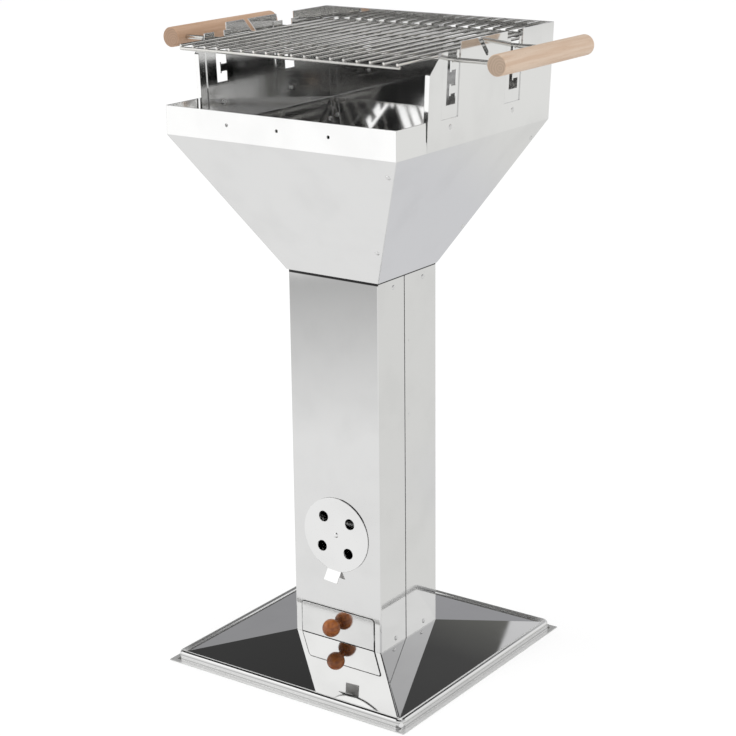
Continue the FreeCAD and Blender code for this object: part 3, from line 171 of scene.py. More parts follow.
class NodeBoard:
    """A node tree that is filled through one method."""

    def __init__(self, tree: bpy.types.NodeTree) -> None:
        """Empty a tree and take it over."""
        self.tree = tree
        tree.nodes.clear()

    def node(
        self,
        kind: str,
        settings: dict[str, object] | None = None,
        inputs: Sockets | None = None,
        output: str | int = 0,
    ) -> Signal:
        """Make one node.

        Args:
            kind: the node's type.
            settings: its properties, set first; "stops" holds a ramp's places and colours.
            inputs: values or signals by the name or number of the socket.
            output: the socket to return.

        Returns:
            The wanted output.
        """
        made = self.tree.nodes.new(kind)
        for name, value in (settings or {}).items():
            if name == "stops":
                self._set_stops(made.color_ramp, value)
            else:
                setattr(made, name, value)
        for name, value in (inputs or {}).items():
            if isinstance(value, Signal):
                self.tree.links.new(value.socket, made.inputs[name])
            else:
                made.inputs[name].default_value = value
        return Signal(self, made.outputs[output] if made.outputs else None)

    @staticmethod
    def _set_stops(ramp: bpy.types.ColorRamp, stops: Sequence[tuple[float, Triple]]) -> None:
        """Give a colour ramp its stops.

        Args:
            ramp: the ramp of a new node.
            stops: the place and colour of each stop, in order.
        """
        while len(ramp.elements) < len(stops):
            ramp.elements.new(1.0)
        for element, (place, tone) in zip(ramp.elements, stops):
            element.position = place
            element.color = (*tone, 1.0)

    def place(self) -> Signal:
        """The point on the object, in the object's own frame."""
        return self.node("ShaderNodeTexCoord", output="Object")

    def facing(self, axis: str) -> Signal:
        """How much the surface faces along an axis."""
        return self.part(self.node("ShaderNodeNewGeometry", output="Normal"), axis)

    def part(self, vector: Signal, axis: str) -> Signal:
        """One number of a vector."""
        return self.node("ShaderNodeSeparateXYZ", inputs={0: vector}, output=axis)

    def vector(self, operation: str, inputs: Sockets, output: str = "Vector") -> Signal:
        """The result of one Vector Math node."""
        return self.node("ShaderNodeVectorMath", {"operation": operation}, inputs, output)

    def along(self, vector: Signal, direction: Triple) -> Signal:
        """How far a vector reaches along a direction."""
        return self.vector("DOT_PRODUCT", {0: vector, 1: direction}, "Value")

    def stretched(self, vector: Signal, scale: Triple) -> Signal:
        """A vector scaled by a different number along each axis."""
        return self.vector("MULTIPLY", {0: vector, 1: scale})

    def noise(self, vector: Signal, scale: float, detail: float) -> Signal:
        """Smooth noise from 0 to 1 with about that many waves to the metre."""
        return self.node("ShaderNodeTexNoise", inputs={"Vector": vector, "Scale": scale, "Detail": detail})

    def blend(self, factor: Signal, first: Value, second: Value) -> Signal:
        """Mix two colours by a factor."""
        return self.node("ShaderNodeMix", {"data_type": "RGBA"}, {0: factor, 6: first, 7: second}, output=2)

    def emission(self, tone: Value, strength: float = 1.0) -> Signal:
        """Light of a colour."""
        return self.node("ShaderNodeEmission", inputs={"Color": tone, "Strength": strength})

    def either(self, factor: Value, first: Signal, second: Signal) -> Signal:
        """Mix two shaders by a factor."""
        return self.node("ShaderNodeMixShader", inputs={0: factor, 1: first, 2: second})

    def ray(self, kind: str) -> Signal:
        """1 for rays of a kind, and 0 for others."""
        return self.node("ShaderNodeLightPath", output=kind)


def colour(red: float, green: float, blue: float) -> tuple[float, float, float, float]:
    """A linear colour with its alpha."""
    return red, green, blue, 1.0


def darker(tint: Triple, share: float) -> tuple[float, float, float, float]:
    """A tint brought down to a share of itself."""
    return colour(*(share * part for part in tint))


# Finishes


@dataclass(frozen=True)
class Finish:
    """A finish that can make its own material."""

    name: str

    def material(self) -> bpy.types.Material:
        """Make the material when it is first asked for.

        Returns:
            The one material of this finish.
        """
        found = bpy.data.materials.get(self.name)
        if found is None:
            found = bpy.data.materials.new(self.name)
            found.use_nodes = True
            board = NodeBoard(found.node_tree)
            shader = board.node("ShaderNodeBsdfPrincipled", inputs=self.surface(board))
            board.node("ShaderNodeOutputMaterial", inputs={"Surface": shader})
        return found

    def surface(self, board: NodeBoard) -> Sockets:
        """The values and signals of the shader's sockets."""
        raise NotImplementedError


@dataclass(frozen=True)
class MirrorSheet(Finish):
    """Polished stainless sheet with the faint waves, smears and softened edges of thin metal."""

    tint: Triple = (0.83, 0.83, 0.825)
    gloss: float = 0.045
    smear: float = 0.06
    smear_scale: float = 14.0
    smear_detail: float = 3.0
    smear_edges: Span = (0.42, 0.72)
    smeared_share: float = 0.965
    wipe_scale: float = 60.0
    wipe_detail: float = 4.0
    wipe_stretch: Triple = (1.0, 1.0, 0.35)
    wave_scale: float = 6.0
    wave_detail: float = 1.0
    wave_height: float = 0.25 * MM
    edge_radius: float = 0.9 * MM
    edge_samples: int = 4
    shade_tint: Triple = (0.02, 0.02, 0.02)
    dull_gloss: float = 0.5
    dull_share: float = 0.0

    def surface(self, board: NodeBoard) -> Sockets:
        """Mirror metal whose gloss is dulled here and there by handling.

        Args:
            board: the material's nodes.

        Returns:
            The shader's sockets.
        """
        place = board.place()
        smears = board.noise(place, self.smear_scale, self.smear_detail).above(*self.smear_edges)
        wiped = board.noise(board.stretched(place, self.wipe_stretch), self.wipe_scale, self.wipe_detail)
        tone = board.blend(smears, colour(*self.tint), darker(self.tint, self.smeared_share))
        dull = self.dull(board, place)
        shade = self.shade(board, place)
        # Painted shade and painted reflection bands from the subclasses darken the tone here.
        if shade is not None:
            tone = board.blend(shade, tone, colour(*self.shade_tint))
        waves = board.noise(place, self.wave_scale, self.wave_detail)
        edges = board.node("ShaderNodeBevel", {"samples": self.edge_samples}, {"Radius": self.edge_radius})
        normal = board.node(
            "ShaderNodeBump",
            inputs={"Strength": 1.0, "Distance": self.wave_height, "Height": waves, "Normal": edges},
        )
        return {
            "Base Color": tone,
            "Metallic": 1.0 - self.dull_share * dull,
            "Roughness": self.gloss + self.smear * smears * wiped + self.dull_gloss * dull,
            "Normal": normal,
        }

    def dull(self, board: NodeBoard, place: Signal) -> Signal | float:
        """Where the sheet has lost its polish, from 0 to 1."""
        return 0.0

    def shade(self, board: NodeBoard, place: Signal) -> Signal | None:
        """Where painted shade and painted reflection darken the sheet below its tint, from 0 to 1, if
        anywhere.
        """
        return None


@dataclass(frozen=True)
class JointedSheet(MirrorSheet):
    """Sheet of the column, with painted shade on the lap under the open seam and a painted shadow line right
    under the hopper's edge.
    """

    darkness: float = 0.96
    joint_depth: float = 74.5 * MM
    joint_ends: Span = (-8.6 * MM, -5.6 * MM)
    hair: float = 0.1 * MM
    head: float = 571.0 * MM
    head_edge: float = 0.4 * MM
    front_shadow: float = 3.9 * MM
    side_shadow: float = 2.2 * MM
    side_face: float = 74.8 * MM

    def shade(self, board: NodeBoard, place: Signal) -> Signal:
        """Painted shade on the lap that lies deeper than the outer face, and the painted shadow line at the
        head.

        Args:
            board: the material's nodes.
            place: the point on the sheet.

        Returns:
            How dark the sheet is there, from 0 to 1.
        """
        along, across = board.part(place, "Y"), abs(board.part(place, "X"))
        low, high = self.joint_ends
        inside = along.above(low - self.hair, low) * (1.0 - along.above(high, high + self.hair))
        # Painted shade in the recess of the lap under the seam.
        painted_lap_shade = inside * (1.0 - across.above(self.joint_depth, self.joint_depth + self.hair))
        on_side = across.above(self.side_face, self.side_face + self.hair)
        depth = self.front_shadow - (self.front_shadow - self.side_shadow) * on_side
        start = self.head - depth
        # Painted shadow line right under the hopper's edge.
        painted_head_shadow = (board.part(place, "Z") - start).above(-self.head_edge, self.head_edge)
        return self.darkness * painted_lap_shade.larger(painted_head_shadow)


@dataclass(frozen=True)
class RolledSheet(MirrorSheet):
    """Sheet whose rolled rim has a dull inner side, soft grey lines of painted reflection and painted shade
    on its outer side, and a dull foot.
    """

    fade: float = 1.0 * MM
    inner_side: Span = (186.0 * MM, 191.0 * MM)
    inner_fade: float = 2.0 * MM
    far_share: float = 0.25
    near_edge: float = 20.0 * MM
    foot: float = 196.3 * MM
    foot_fade: float = 0.2 * MM
    foot_share: float = 0.45
    outer_side: float = 194.0 * MM
    painted_line_heights: Span = (9.0 * MM, 3.2 * MM)
    line_width: float = 1.3 * MM
    line_core: float = 0.3
    line_share: float = 0.35

    def dull(self, board: NodeBoard, place: Signal) -> Signal:
        """The inner side of the bead, more worn at the front and right, and the foot round it.

        Args:
            board: the material's nodes.
            place: the point on the sheet.

        Returns:
            How dull the sheet is there, from 0 to 1.
        """
        across, along = board.part(place, "X"), board.part(place, "Y")
        outwards = abs(across).larger(abs(along))
        start, end = self.inner_side
        inner = outwards.above(start, start + self.fade) * (1.0 - outwards.above(end, end + self.inner_fade))
        near = (across - along).above(-self.near_edge, self.near_edge)
        worn = self.far_share + (1.0 - self.far_share) * near
        return inner * worn + self.foot_share * outwards.above(self.foot, self.foot + self.foot_fade)

    def shade(self, board: NodeBoard, place: Signal) -> Signal:
        """Soft grey lines along the outer side of the rim: a painted reflection band below the bead and
        painted shade near its foot.

        Args:
            board: the material's nodes.
            place: the point on the sheet.

        Returns:
            How dark the sheet is there, from 0 to 1.
        """
        outwards = abs(board.part(place, "X")).larger(abs(board.part(place, "Y")))
        height = board.part(place, "Z")
        core = self.line_core * self.line_width
        # Painted reflection band below the bead and painted shade near the foot.
        upper, lower = (1.0 - abs(height - line).above(core, self.line_width) for line in self.painted_line_heights)
        painted_lines = self.line_share * upper.larger(lower)
        return painted_lines * outwards.above(self.outer_side, self.outer_side + self.fade)


@dataclass(frozen=True)
class TabbedSheet(MirrorSheet):
    """Sheet of the air vent, whose bent tab is dull underneath."""

    tab_top: float = 165.0 * MM
    tab_fade: float = 1.0 * MM
    facing_down: Span = (0.1, 0.3)

    def dull(self, board: NodeBoard, place: Signal) -> Signal:
        """The underside of the tab."""
        down = (-1.0 * board.facing("Z")).above(*self.facing_down)
        return down * (1.0 - board.part(place, "Z").above(self.tab_top, self.tab_top + self.tab_fade))


@dataclass(frozen=True)
class BrightWire(Finish):
    """Drawn stainless wire: bright, with fine drawing marks along it and a few duller stretches."""

    tint: Triple = (0.74, 0.73, 0.70)
    gloss: float = 0.16
    along: Triple = (1.0, 0.04, 1.0)
    detail: float = 2.0
    mark_scale: float = 1600.0
    mark_gloss: float = 0.05
    mark_depth: float = 0.05 * MM
    mark_strength: float = 0.25
    dull_scale: float = 22.0
    dull_edges: Span = (0.4, 0.75)
    dull_gloss: float = 0.12
    dull_share: float = 0.86

    def surface(self, board: NodeBoard) -> Sockets:
        """Metal with marks drawn out along the wire.

        Args:
            board: the material's nodes.

        Returns:
            The shader's sockets.
        """
        place = board.place()
        marks = board.noise(board.stretched(place, self.along), self.mark_scale, self.detail)
        dull = board.noise(place, self.dull_scale, self.detail).above(*self.dull_edges)
        bump = {"Strength": self.mark_strength, "Distance": self.mark_depth, "Height": marks}
        return {
            "Base Color": board.blend(dull, colour(*self.tint), darker(self.tint, self.dull_share)),
            "Metallic": 1.0,
            "Roughness": self.gloss + self.dull_gloss * dull + self.mark_gloss * marks,
            "Normal": board.node("ShaderNodeBump", inputs=bump),
        }


@dataclass(frozen=True)
class Grain:
    """One kind of mark in wood: how fine and how drawn out it is, and how strongly it shows."""

    scale: float
    drawn_out: float
    detail: float
    edges: Span
    share: float


STREAKS = Grain(scale=190.0, drawn_out=0.05, detail=4.0, edges=(0.38, 0.68), share=0.7)
BANDS = Grain(scale=55.0, drawn_out=0.12, detail=2.0, edges=(0.4, 0.75), share=0.35)
FLECKS = Grain(scale=1900.0, drawn_out=0.16, detail=1.0, edges=(0.66, 0.74), share=0.55)


@dataclass(frozen=True)
class TurnedWood(Finish):
    """Wood turned between centres, with its grain along one axis and darker, ringed end grain."""

    pale: Triple
    streak: Triple
    end: Triple
    fleck: Triple
    pith: Triple
    along: str = "Y"
    gloss: float = 0.48
    streak_gloss: float = 0.1
    varnish: float = 0.0
    varnish_gloss: float = 0.06
    bands: Grain = BANDS
    ring_scale: float = 90.0
    ring_wobble: float = 2.5
    ring_detail: float = 2.0
    ring_share: float = 0.84
    end_facing: Span = (0.75, 0.95)
    relief: float = 0.08 * MM
    relief_strength: float = 0.3
    streak_relief: float = 0.4
    fleck_relief: float = 0.6

    def surface(self, board: NodeBoard) -> Sockets:
        """Pale wood with soft streaks, short flecks and rings on its ends.

        Args:
            board: the material's nodes.

        Returns:
            The shader's sockets.
        """
        place = board.place()
        streaks, bands, flecks = (self._marks(board, place, grain) for grain in (STREAKS, self.bands, FLECKS))
        side = board.blend(streaks * STREAKS.share, colour(*self.pale), colour(*self.streak))
        side = board.blend(bands * self.bands.share, side, colour(*self.streak))
        side = board.blend(flecks * FLECKS.share, side, colour(*self.fleck))
        ends = board.blend(self._rings(board, place), colour(*self.end), darker(self.end, self.ring_share))
        facing = abs(board.facing(self.along)).above(*self.end_facing)
        height = streaks * self.streak_relief + flecks * self.fleck_relief
        bump = {"Strength": self.relief_strength, "Distance": self.relief, "Height": height}
        return {
            "Base Color": board.blend(facing, side, ends),
            "Roughness": self.gloss + self.streak_gloss * streaks,
            "Coat Weight": self.varnish,
            "Coat Roughness": self.varnish_gloss,
            "Normal": board.node("ShaderNodeBump", inputs=bump),
        }

    def _marks(self, board: NodeBoard, place: Signal, grain: Grain) -> Signal:
        """Marks of one kind, drawn out along the wood.

        Args:
            board: the material's nodes.
            place: the point on the wood.
            grain: the kind of mark.

        Returns:
            1 on a mark and 0 beside it.
        """
        stretch = tuple(grain.drawn_out if axis == self.along else 1.0 for axis in "XYZ")
        return board.noise(board.stretched(place, stretch), grain.scale, grain.detail).above(*grain.edges)

    def _rings(self, board: NodeBoard, place: Signal) -> Signal:
        """Growth rings round the pith, on both sides of the barbecue.

        Args:
            board: the material's nodes.
            place: the point on the wood.

        Returns:
            The rings as waves from 0 to 1.
        """
        mirrored = board.vector("ABSOLUTE", {0: place})
        from_pith = board.vector("SUBTRACT", {0: mirrored, 1: self.pith})
        return board.node(
            "ShaderNodeTexWave",
            {"wave_type": "RINGS", "rings_direction": self.along},
            {
                "Vector": from_pith,
                "Scale": self.ring_scale,
                "Distortion": self.ring_wobble,
                "Detail": self.ring_detail,
            },
            output="Fac",
        )


POLISHED = MirrorSheet("polished_sheet")
HOPPER_SHEET = MirrorSheet("hopper_sheet", gloss=0.06, smear=0.09, wave_height=0.35 * MM)
COLUMN_SHEET = JointedSheet("column_sheet")
DRAWER_SHEET = MirrorSheet("drawer_sheet", gloss=0.10)
BASE_SHEET = RolledSheet("base_sheet", gloss=0.018, smear=0.03, wave_height=0.12 * MM, dull_share=0.85)
DISC_SHEET = TabbedSheet("disc_sheet", tint=(0.92, 0.92, 0.915), dull_share=0.7)
SMALL_METAL = MirrorSheet("bright_fastener", gloss=0.30, smear=0.1, edge_radius=0.3 * MM)
GRATE_WIRE = BrightWire("grate_wire")
CROSS_WIRE = BrightWire("cross_wire", along=(0.04, 1.0, 1.0))
BEECH = TurnedWood(
    "beech_of_the_grips",
    pale=(0.70, 0.545, 0.42),
    streak=(0.60, 0.42, 0.295),
    end=(0.50, 0.375, 0.28),
    fleck=(0.36, 0.22, 0.13),
    pith=(0.2685, 0.0, 0.8735),
)
# A darker, redder copy of the beech for the left grip.
DARKER_LEFT_BEECH = TurnedWood(
    "darker_redder_beech_of_the_left_grip",
    pale=(0.61, 0.405, 0.275),
    streak=(0.50, 0.30, 0.185),
    end=(0.45, 0.295, 0.20),
    fleck=(0.33, 0.18, 0.10),
    pith=(0.258, 0.0, 0.8715),
)
KNOB_WOOD = TurnedWood(
    "wood_of_the_knob",
    pale=(0.46, 0.148, 0.030),
    streak=(0.17, 0.036, 0.007),
    end=(0.35, 0.098, 0.019),
    fleck=(0.17, 0.042, 0.012),
    pith=(0.004, 0.0, 0.056),
    gloss=0.42,
    varnish=0.35,
    bands=replace(BANDS, scale=90.0),
)


# Mesh making


CUT_ROUNDING = 0.35
CUT_STEPS = 3


class Shape:
    """Points and faces that are gathered and then made into one object."""

    def __init__(self) -> None:
        """Start with nothing."""
        self.points: list[Vector] = []
        self.faces: list[tuple[int, ...]] = []

    def add(self, points: Iterable[Vector], faces: Iterable[Sequence[int]]) -> None:
        """Add a closed piece.

        Args:
            points: its points.
            faces: its faces, which count from its own first point.
        """
        start = len(self.points)
        self.points.extend(points)
        self.faces.extend(tuple(start + index for index in face) for face in faces)

    def lathe(self, profile: Sequence[Span], seat: Matrix, sides: int) -> None:
        """Add a turned solid.

        Args:
            profile: radius and height of each ring, from a pole with radius 0 to the other.
            seat: where the turning axis, Z, goes.
            sides: how many sides a ring has.
        """
        rings = profile[1:-1]
        points = [seat @ Vector((0.0, 0.0, profile[0][1]))]
        for radius, height in rings:
            for step in range(sides):
                angle = FULL_TURN * step / sides
                points.append(seat @ Vector((radius * math.cos(angle), radius * math.sin(angle), height)))
        points.append(seat @ Vector((0.0, 0.0, profile[-1][1])))
        last = len(points) - 1
        faces: list[Sequence[int]] = []
        for step in range(sides):
            following = (step + 1) % sides
            faces.append((0, 1 + following, 1 + step))
            for ring in range(len(rings) - 1):
                low, high = 1 + ring * sides, 1 + (ring + 1) * sides
                faces.append((low + step, low + following, high + following, high + step))
            top = 1 + (len(rings) - 1) * sides
            faces.append((top + step, top + following, last))
        self.add(points, faces)

    def rod(self, start: Vector, end: Vector, radius: float, sides: int) -> None:
        """Add a straight round rod with slightly rounded cut ends.

        Args:
            start: the middle of one end.
            end: the middle of the other end.
            radius: the rod's radius.
            sides: how many sides it has.
        """
        length = (end - start).length
        edge = radius * CUT_ROUNDING
        low = arc((radius - edge, edge), edge, -90, 0, CUT_STEPS)
        high = arc((radius - edge, length - edge), edge, 0, 90, CUT_STEPS)
        self.lathe([(0.0, 0.0)] + low + high + [(0.0, length)], seat_at(start, end - start), sides)

    def build(self, name: str, finish: Finish, slot: Slot, sharp: float = 40.0) -> bpy.types.Object:
        """Make the object.

        Args:
            name: the piece's name.
            finish: what it is made of.
            slot: the record's slot for that finish; not used.
            sharp: angle in degrees above which an edge stays sharp.

        Returns:
            The new object, linked to the scene.
        """
        mesh = bpy.data.meshes.new(name)
        mesh.from_pydata([tuple(point) for point in self.points], [], self.faces)
        mesh.update()
        smooth(mesh, sharp)
        made = bpy.data.objects.new(name, mesh)
        bpy.context.scene.collection.objects.link(made)
        made.data.materials.append(finish.material())
        return made


def smooth(mesh: bpy.types.Mesh, sharp: float) -> None:
    """Shade a mesh smooth but for the edges that turn more than an angle in degrees."""
    mesh.polygons.foreach_set("use_smooth", [True] * len(mesh.polygons))
    mesh.set_sharp_from_angle(angle=math.radians(sharp))


def seat_at(point: Vector, outwards: Vector) -> Matrix:
    """A frame at a point with its Z axis along a direction."""
    return Matrix.Translation(point) @ outwards.to_track_quat("Z", "Y").to_matrix().to_4x4()


def arc(centre: Span, radius: float, start: float, end: float, steps: int) -> list[Span]:
    """Points of a profile along an arc.

    Args:
        centre: the arc's centre in the profile.
        radius: the arc's radius.
        start: the angle of the first point, in degrees.
        end: the angle of the last point, in degrees.
        steps: into how many steps the arc is cut.

    Returns:
        The points in order.
    """
    angles = [math.radians(start + (end - start) * step / steps) for step in range(steps + 1)]
    return [(centre[0] + radius * math.cos(angle), centre[1] + radius * math.sin(angle)) for angle in angles]


def polish(node: bpy.types.Object, finish: Finish, sharp: float) -> None:
    """Give a node of the frame its finish and let its bends shade round.

    Args:
        node: the node of the frame.
        finish: what it is made of.
        sharp: angle in degrees above which an edge stays sharp.
    """
    node.data.materials.clear()
    node.data.materials.append(finish.material())
    smooth(node.data, sharp)
    log.info("polished %s", node.name)


# Sub-assemblies


@dataclass
class SheetMetal:
    """The folded sheets, which keep the shapes of the frame and get their polish here."""

    frame: dict
    finishes: tuple[tuple[str, MirrorSheet], ...] = (
        ("base_plate", BASE_SHEET),
        ("column", COLUMN_SHEET),
        ("hopper", HOPPER_SHEET),
        ("ladder", POLISHED),
        ("ash_drawer", DRAWER_SHEET),
        ("vent", DISC_SHEET),
        ("knob_screw", SMALL_METAL),
    )
    sharp: float = 24.0
    flat_weight: int = 100

    def dress(self) -> None:
        """Give every node whose name starts with one of the words its finish, with flats that stay flat."""
        for name, node in self.frame["nodes"].items():
            for start, finish in self.finishes:
                if name.startswith(start):
                    polish(node, finish, self.sharp)
                    weights = node.modifiers.new("flat_faces_stay_flat", "WEIGHTED_NORMAL")
                    weights.keep_sharp = True
                    weights.weight = self.flat_weight
                    break


@dataclass
class Fasteners:
    """The rivets and screws, which keep the shapes of the frame."""

    frame: dict
    sharp: float = 35.0

    def dress(self) -> None:
        """Polish the fasteners of the frame."""
        for name, node in self.frame["nodes"].items():
            if name.endswith(("_rivets", "_screws")):
                polish(node, SMALL_METAL, self.sharp)


@dataclass
class Grips:
    """The two turned beech grips."""

    radius: float = 14.0 * MM
    edge: float = 1.8 * MM
    crown: float = 0.15 * MM
    sides: int = 64
    body_steps: int = 12
    edge_steps: int = 5

    def build(self) -> None:
        """Turn both grips where the frame has them."""
        for side in Side:
            node = f"grip_{side.name.lower()}"
            low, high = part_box(node)
            middle = (low + high) / 2
            shape = Shape()
            shape.lathe(self._profile(high.y - low.y), seat_at(middle, Vector((0.0, 1.0, 0.0))), self.sides)
            wood = DARKER_LEFT_BEECH if side is Side.LEFT else BEECH
            piece = shape.build(f"turned_{node}", wood, Slot.BEECH)
            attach(piece, "cooking_grid")
            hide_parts(node)
            log.info("turned %s", piece.name)

    def _profile(self, length: float) -> list[Span]:
        """A grip that is slightly fuller in the middle, with softened ends.

        Args:
            length: the grip's length.

        Returns:
            Radius and height of each ring.
        """
        half, inner = length / 2, self.radius - self.crown - self.edge
        body = []
        for step in range(1, self.body_steps):
            share = step / self.body_steps
            radius = self.radius - self.crown * (2 * share - 1) ** 2
            body.append((radius, -half + self.edge + (length - 2 * self.edge) * share))
        low = arc((inner, -half + self.edge), self.edge, -90, 0, self.edge_steps)
        high = arc((inner, half - self.edge), self.edge, 0, 90, self.edge_steps)
        return [(0.0, -half), (inner / 2, -half)] + low + body + high + [(inner / 2, half), (0.0, half)]


@dataclass
class DrawerKnob:
    """The turned ball knob on its short neck."""

    ball: float = 13.0 * MM
    neck: float = 5.0 * MM
    neck_length: float = 3.0 * MM
    neck_foot: float = 4.0 * MM
    neck_rise: float = 0.4 * MM
    neck_gap: float = 0.6 * MM
    sides: int = 64
    ball_steps: int = 26

    def build(self) -> None:
        """Turn the knob where the frame has it."""
        low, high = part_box("drawer_knob")
        root = Vector(((low.x + high.x) / 2, high.y, (low.z + high.z) / 2))
        middle = self.neck_length + math.sqrt(self.ball ** 2 - self.neck ** 2)
        start = math.degrees(math.asin(-(middle - self.neck_length) / self.ball))
        ball = arc((0.0, middle), self.ball, start, 90, self.ball_steps)[:-1]
        neck = [
            (0.0, 0.0),
            (self.neck_foot, 0.0),
            (self.neck, self.neck_rise),
            (self.neck, self.neck_length - self.neck_gap),
        ]
        profile = neck + ball + [(0.0, middle + self.ball)]
        shape = Shape()
        shape.lathe(profile, seat_at(root, Vector((0.0, -1.0, 0.0))), self.sides)
        piece = shape.build("turned_drawer_knob", KNOB_WOOD, Slot.KNOB)
        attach(piece, "drawer")
        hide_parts("drawer_knob")
        log.info("turned %s", piece.name)


@dataclass
class WireGrate:
    """A grate of parallel bars welded onto an end wire at the front and back."""

    node: str
    body: str
    count: int
    bar: float = 4.0 * MM
    wire: float = 5.0 * MM
    sides: int = 20
    weld_width: float = 0.62
    weld_height: float = 0.34
    weld_angles: tuple[float, ...] = (-60, -30, 0, 30, 60)
    weld_sides: int = 12

    def build(self) -> None:
        """Draw the bars and wires inside the frame's box and weld them."""
        low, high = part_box(self.node)
        bars, wires = Shape(), Shape()
        bar_height = high.z - self.bar / 2
        wire_height = low.z + self.wire / 2
        wire_places = (low.y + self.wire / 2, high.y - self.wire / 2)
        for number in range(self.count):
            share = number / (self.count - 1)
            across = low.x + self.bar / 2 + share * (high.x - low.x - self.bar)
            start, end = Vector((across, low.y, bar_height)), Vector((across, high.y, bar_height))
            bars.rod(start, end, self.bar / 2, self.sides)
            for along in wire_places:
                self._weld(bars, Vector((across, along, (bar_height + wire_height) / 2)))
        for along in wire_places:
            start, end = Vector((low.x, along, wire_height)), Vector((high.x, along, wire_height))
            wires.rod(start, end, self.wire / 2, self.sides)
        for shape, name, finish in ((bars, "bars", GRATE_WIRE), (wires, "end_wires", CROSS_WIRE)):
            piece = shape.build(f"{self.node}_{name}", finish, Slot.WIRE)
            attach(piece, self.body)
            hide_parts(self.node)
            log.info("drew %s", piece.name)

    def _weld(self, shape: Shape, middle: Vector) -> None:
        """Add the squeezed bead between a bar and the wire under it.

        Args:
            shape: the bars.
            middle: where the two cross.
        """
        width, height = self.bar * self.weld_width, self.bar * self.weld_height
        angles = [math.radians(angle) for angle in self.weld_angles]
        bead = [(width * math.cos(angle), height * math.sin(angle)) for angle in angles]
        profile = [(0.0, -height)] + bead + [(0.0, height)]
        shape.lathe(profile, Matrix.Translation(middle), self.weld_sides)


@dataclass
class GrateRods:
    """The two rods that carry the cooking grate and reach out to the grips."""

    radius: float = 3.0 * MM
    sides: int = 32

    def build(self) -> None:
        """Draw both rods where the frame has them."""
        low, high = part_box("grate_rods")
        shape = Shape()
        height = (low.z + high.z) / 2
        for along in (low.y + self.radius, high.y - self.radius):
            start, end = Vector((low.x, along, height)), Vector((high.x, along, height))
            shape.rod(start, end, self.radius, self.sides)
        piece = shape.build("drawn_grate_rods", CROSS_WIRE, Slot.WIRE)
        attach(piece, "cooking_grid")
        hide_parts("grate_rods")
        log.info("drew %s", piece.name)


@dataclass
class SpotDimples:
    """The small spot-weld dimples beside the seam of the column."""

    face: float = 75.0 * MM
    along: float = 3.5 * MM
    heights: Span = (474.0 * MM, 367.0 * MM)
    radius: float = 2.6 * MM
    rise: float = 0.45 * MM
    sink: float = 0.2 * MM
    dome_angles: tuple[float, ...] = (0, 25, 50, 75)
    sides: int = 20

    def build(self) -> None:
        """Add a low dome at each dimple on both sides."""
        shape = Shape()
        angles = [math.radians(angle) for angle in self.dome_angles]
        dome = [(self.radius * math.cos(angle), self.rise * math.sin(angle)) for angle in angles]
        profile = [(0.0, -self.sink), (self.radius, -self.sink)] + dome + [(0.0, self.rise)]
        for side in Side:
            for height in self.heights:
                point = Vector((side.value * self.face, self.along, height))
                shape.lathe(profile, seat_at(point, Vector((side.value, 0.0, 0.0))), self.sides)
        piece = shape.build("seam_dimples", POLISHED, Slot.SHEET)
        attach(piece, "stand")
        log.info("raised %s", piece.name)


# Studio


@dataclass(frozen=True)
class FloorStep:
    """A change of the floor's level in the metal, with distance along the way that the front left faces."""

    start: float
    end: float
    gain: float
    ahead: bool = True
    soft: bool = True


DARK = (0.014, 0.014, 0.014)


@dataclass(frozen=True)
class Wall:
    """Part of the room in the metal: where it lies, and its tones from low to high."""

    direction: Triple
    spread: Span
    lowest: Triple
    layers: tuple[tuple[Span, Triple], ...]
    foot: Span | None = None


PALE_PANEL = Wall(
    direction=(0.934, 0.357, 0.0),
    spread=(-0.0015, 0.0015),
    lowest=(0.66, 0.66, 0.67),
    layers=(((0.54, 0.6), (0.52, 0.52, 0.53)), ((0.61, 0.63), DARK)),
)
WINDOW = Wall(
    direction=(0.643, 0.766, 0.0),
    spread=(0.97, 0.992),
    lowest=(0.92, 0.92, 0.92),
    layers=(((0.61, 0.63), DARK),),
)
FRONT_WALL = Wall(
    direction=(0.0, -1.0, 0.0),
    spread=(-0.12, 0.12),
    lowest=(0.70, 0.70, 0.71),
    layers=(((0.29, 0.33), DARK),),
)
RIGHT_WALL = Wall(
    direction=(0.996, -0.087, 0.0),
    spread=(0.79, 0.93),
    lowest=(0.55, 0.55, 0.56),
    layers=(((0.84, 0.88), DARK),),
    foot=(0.40, 0.44),
)
STRIP_LIGHT = Wall(
    direction=(-0.809, -0.588, 0.0),
    spread=(0.880, 0.930),
    lowest=(1.04, 1.04, 1.04),
    layers=(((0.15, 0.4), (1.18, 1.18, 1.18)), ((0.68, 0.74), DARK)),
)


@dataclass(frozen=True)
class SoftLamp:
    """A square lamp that points at the barbecue."""

    name: str
    place: Triple
    size: float
    power: float


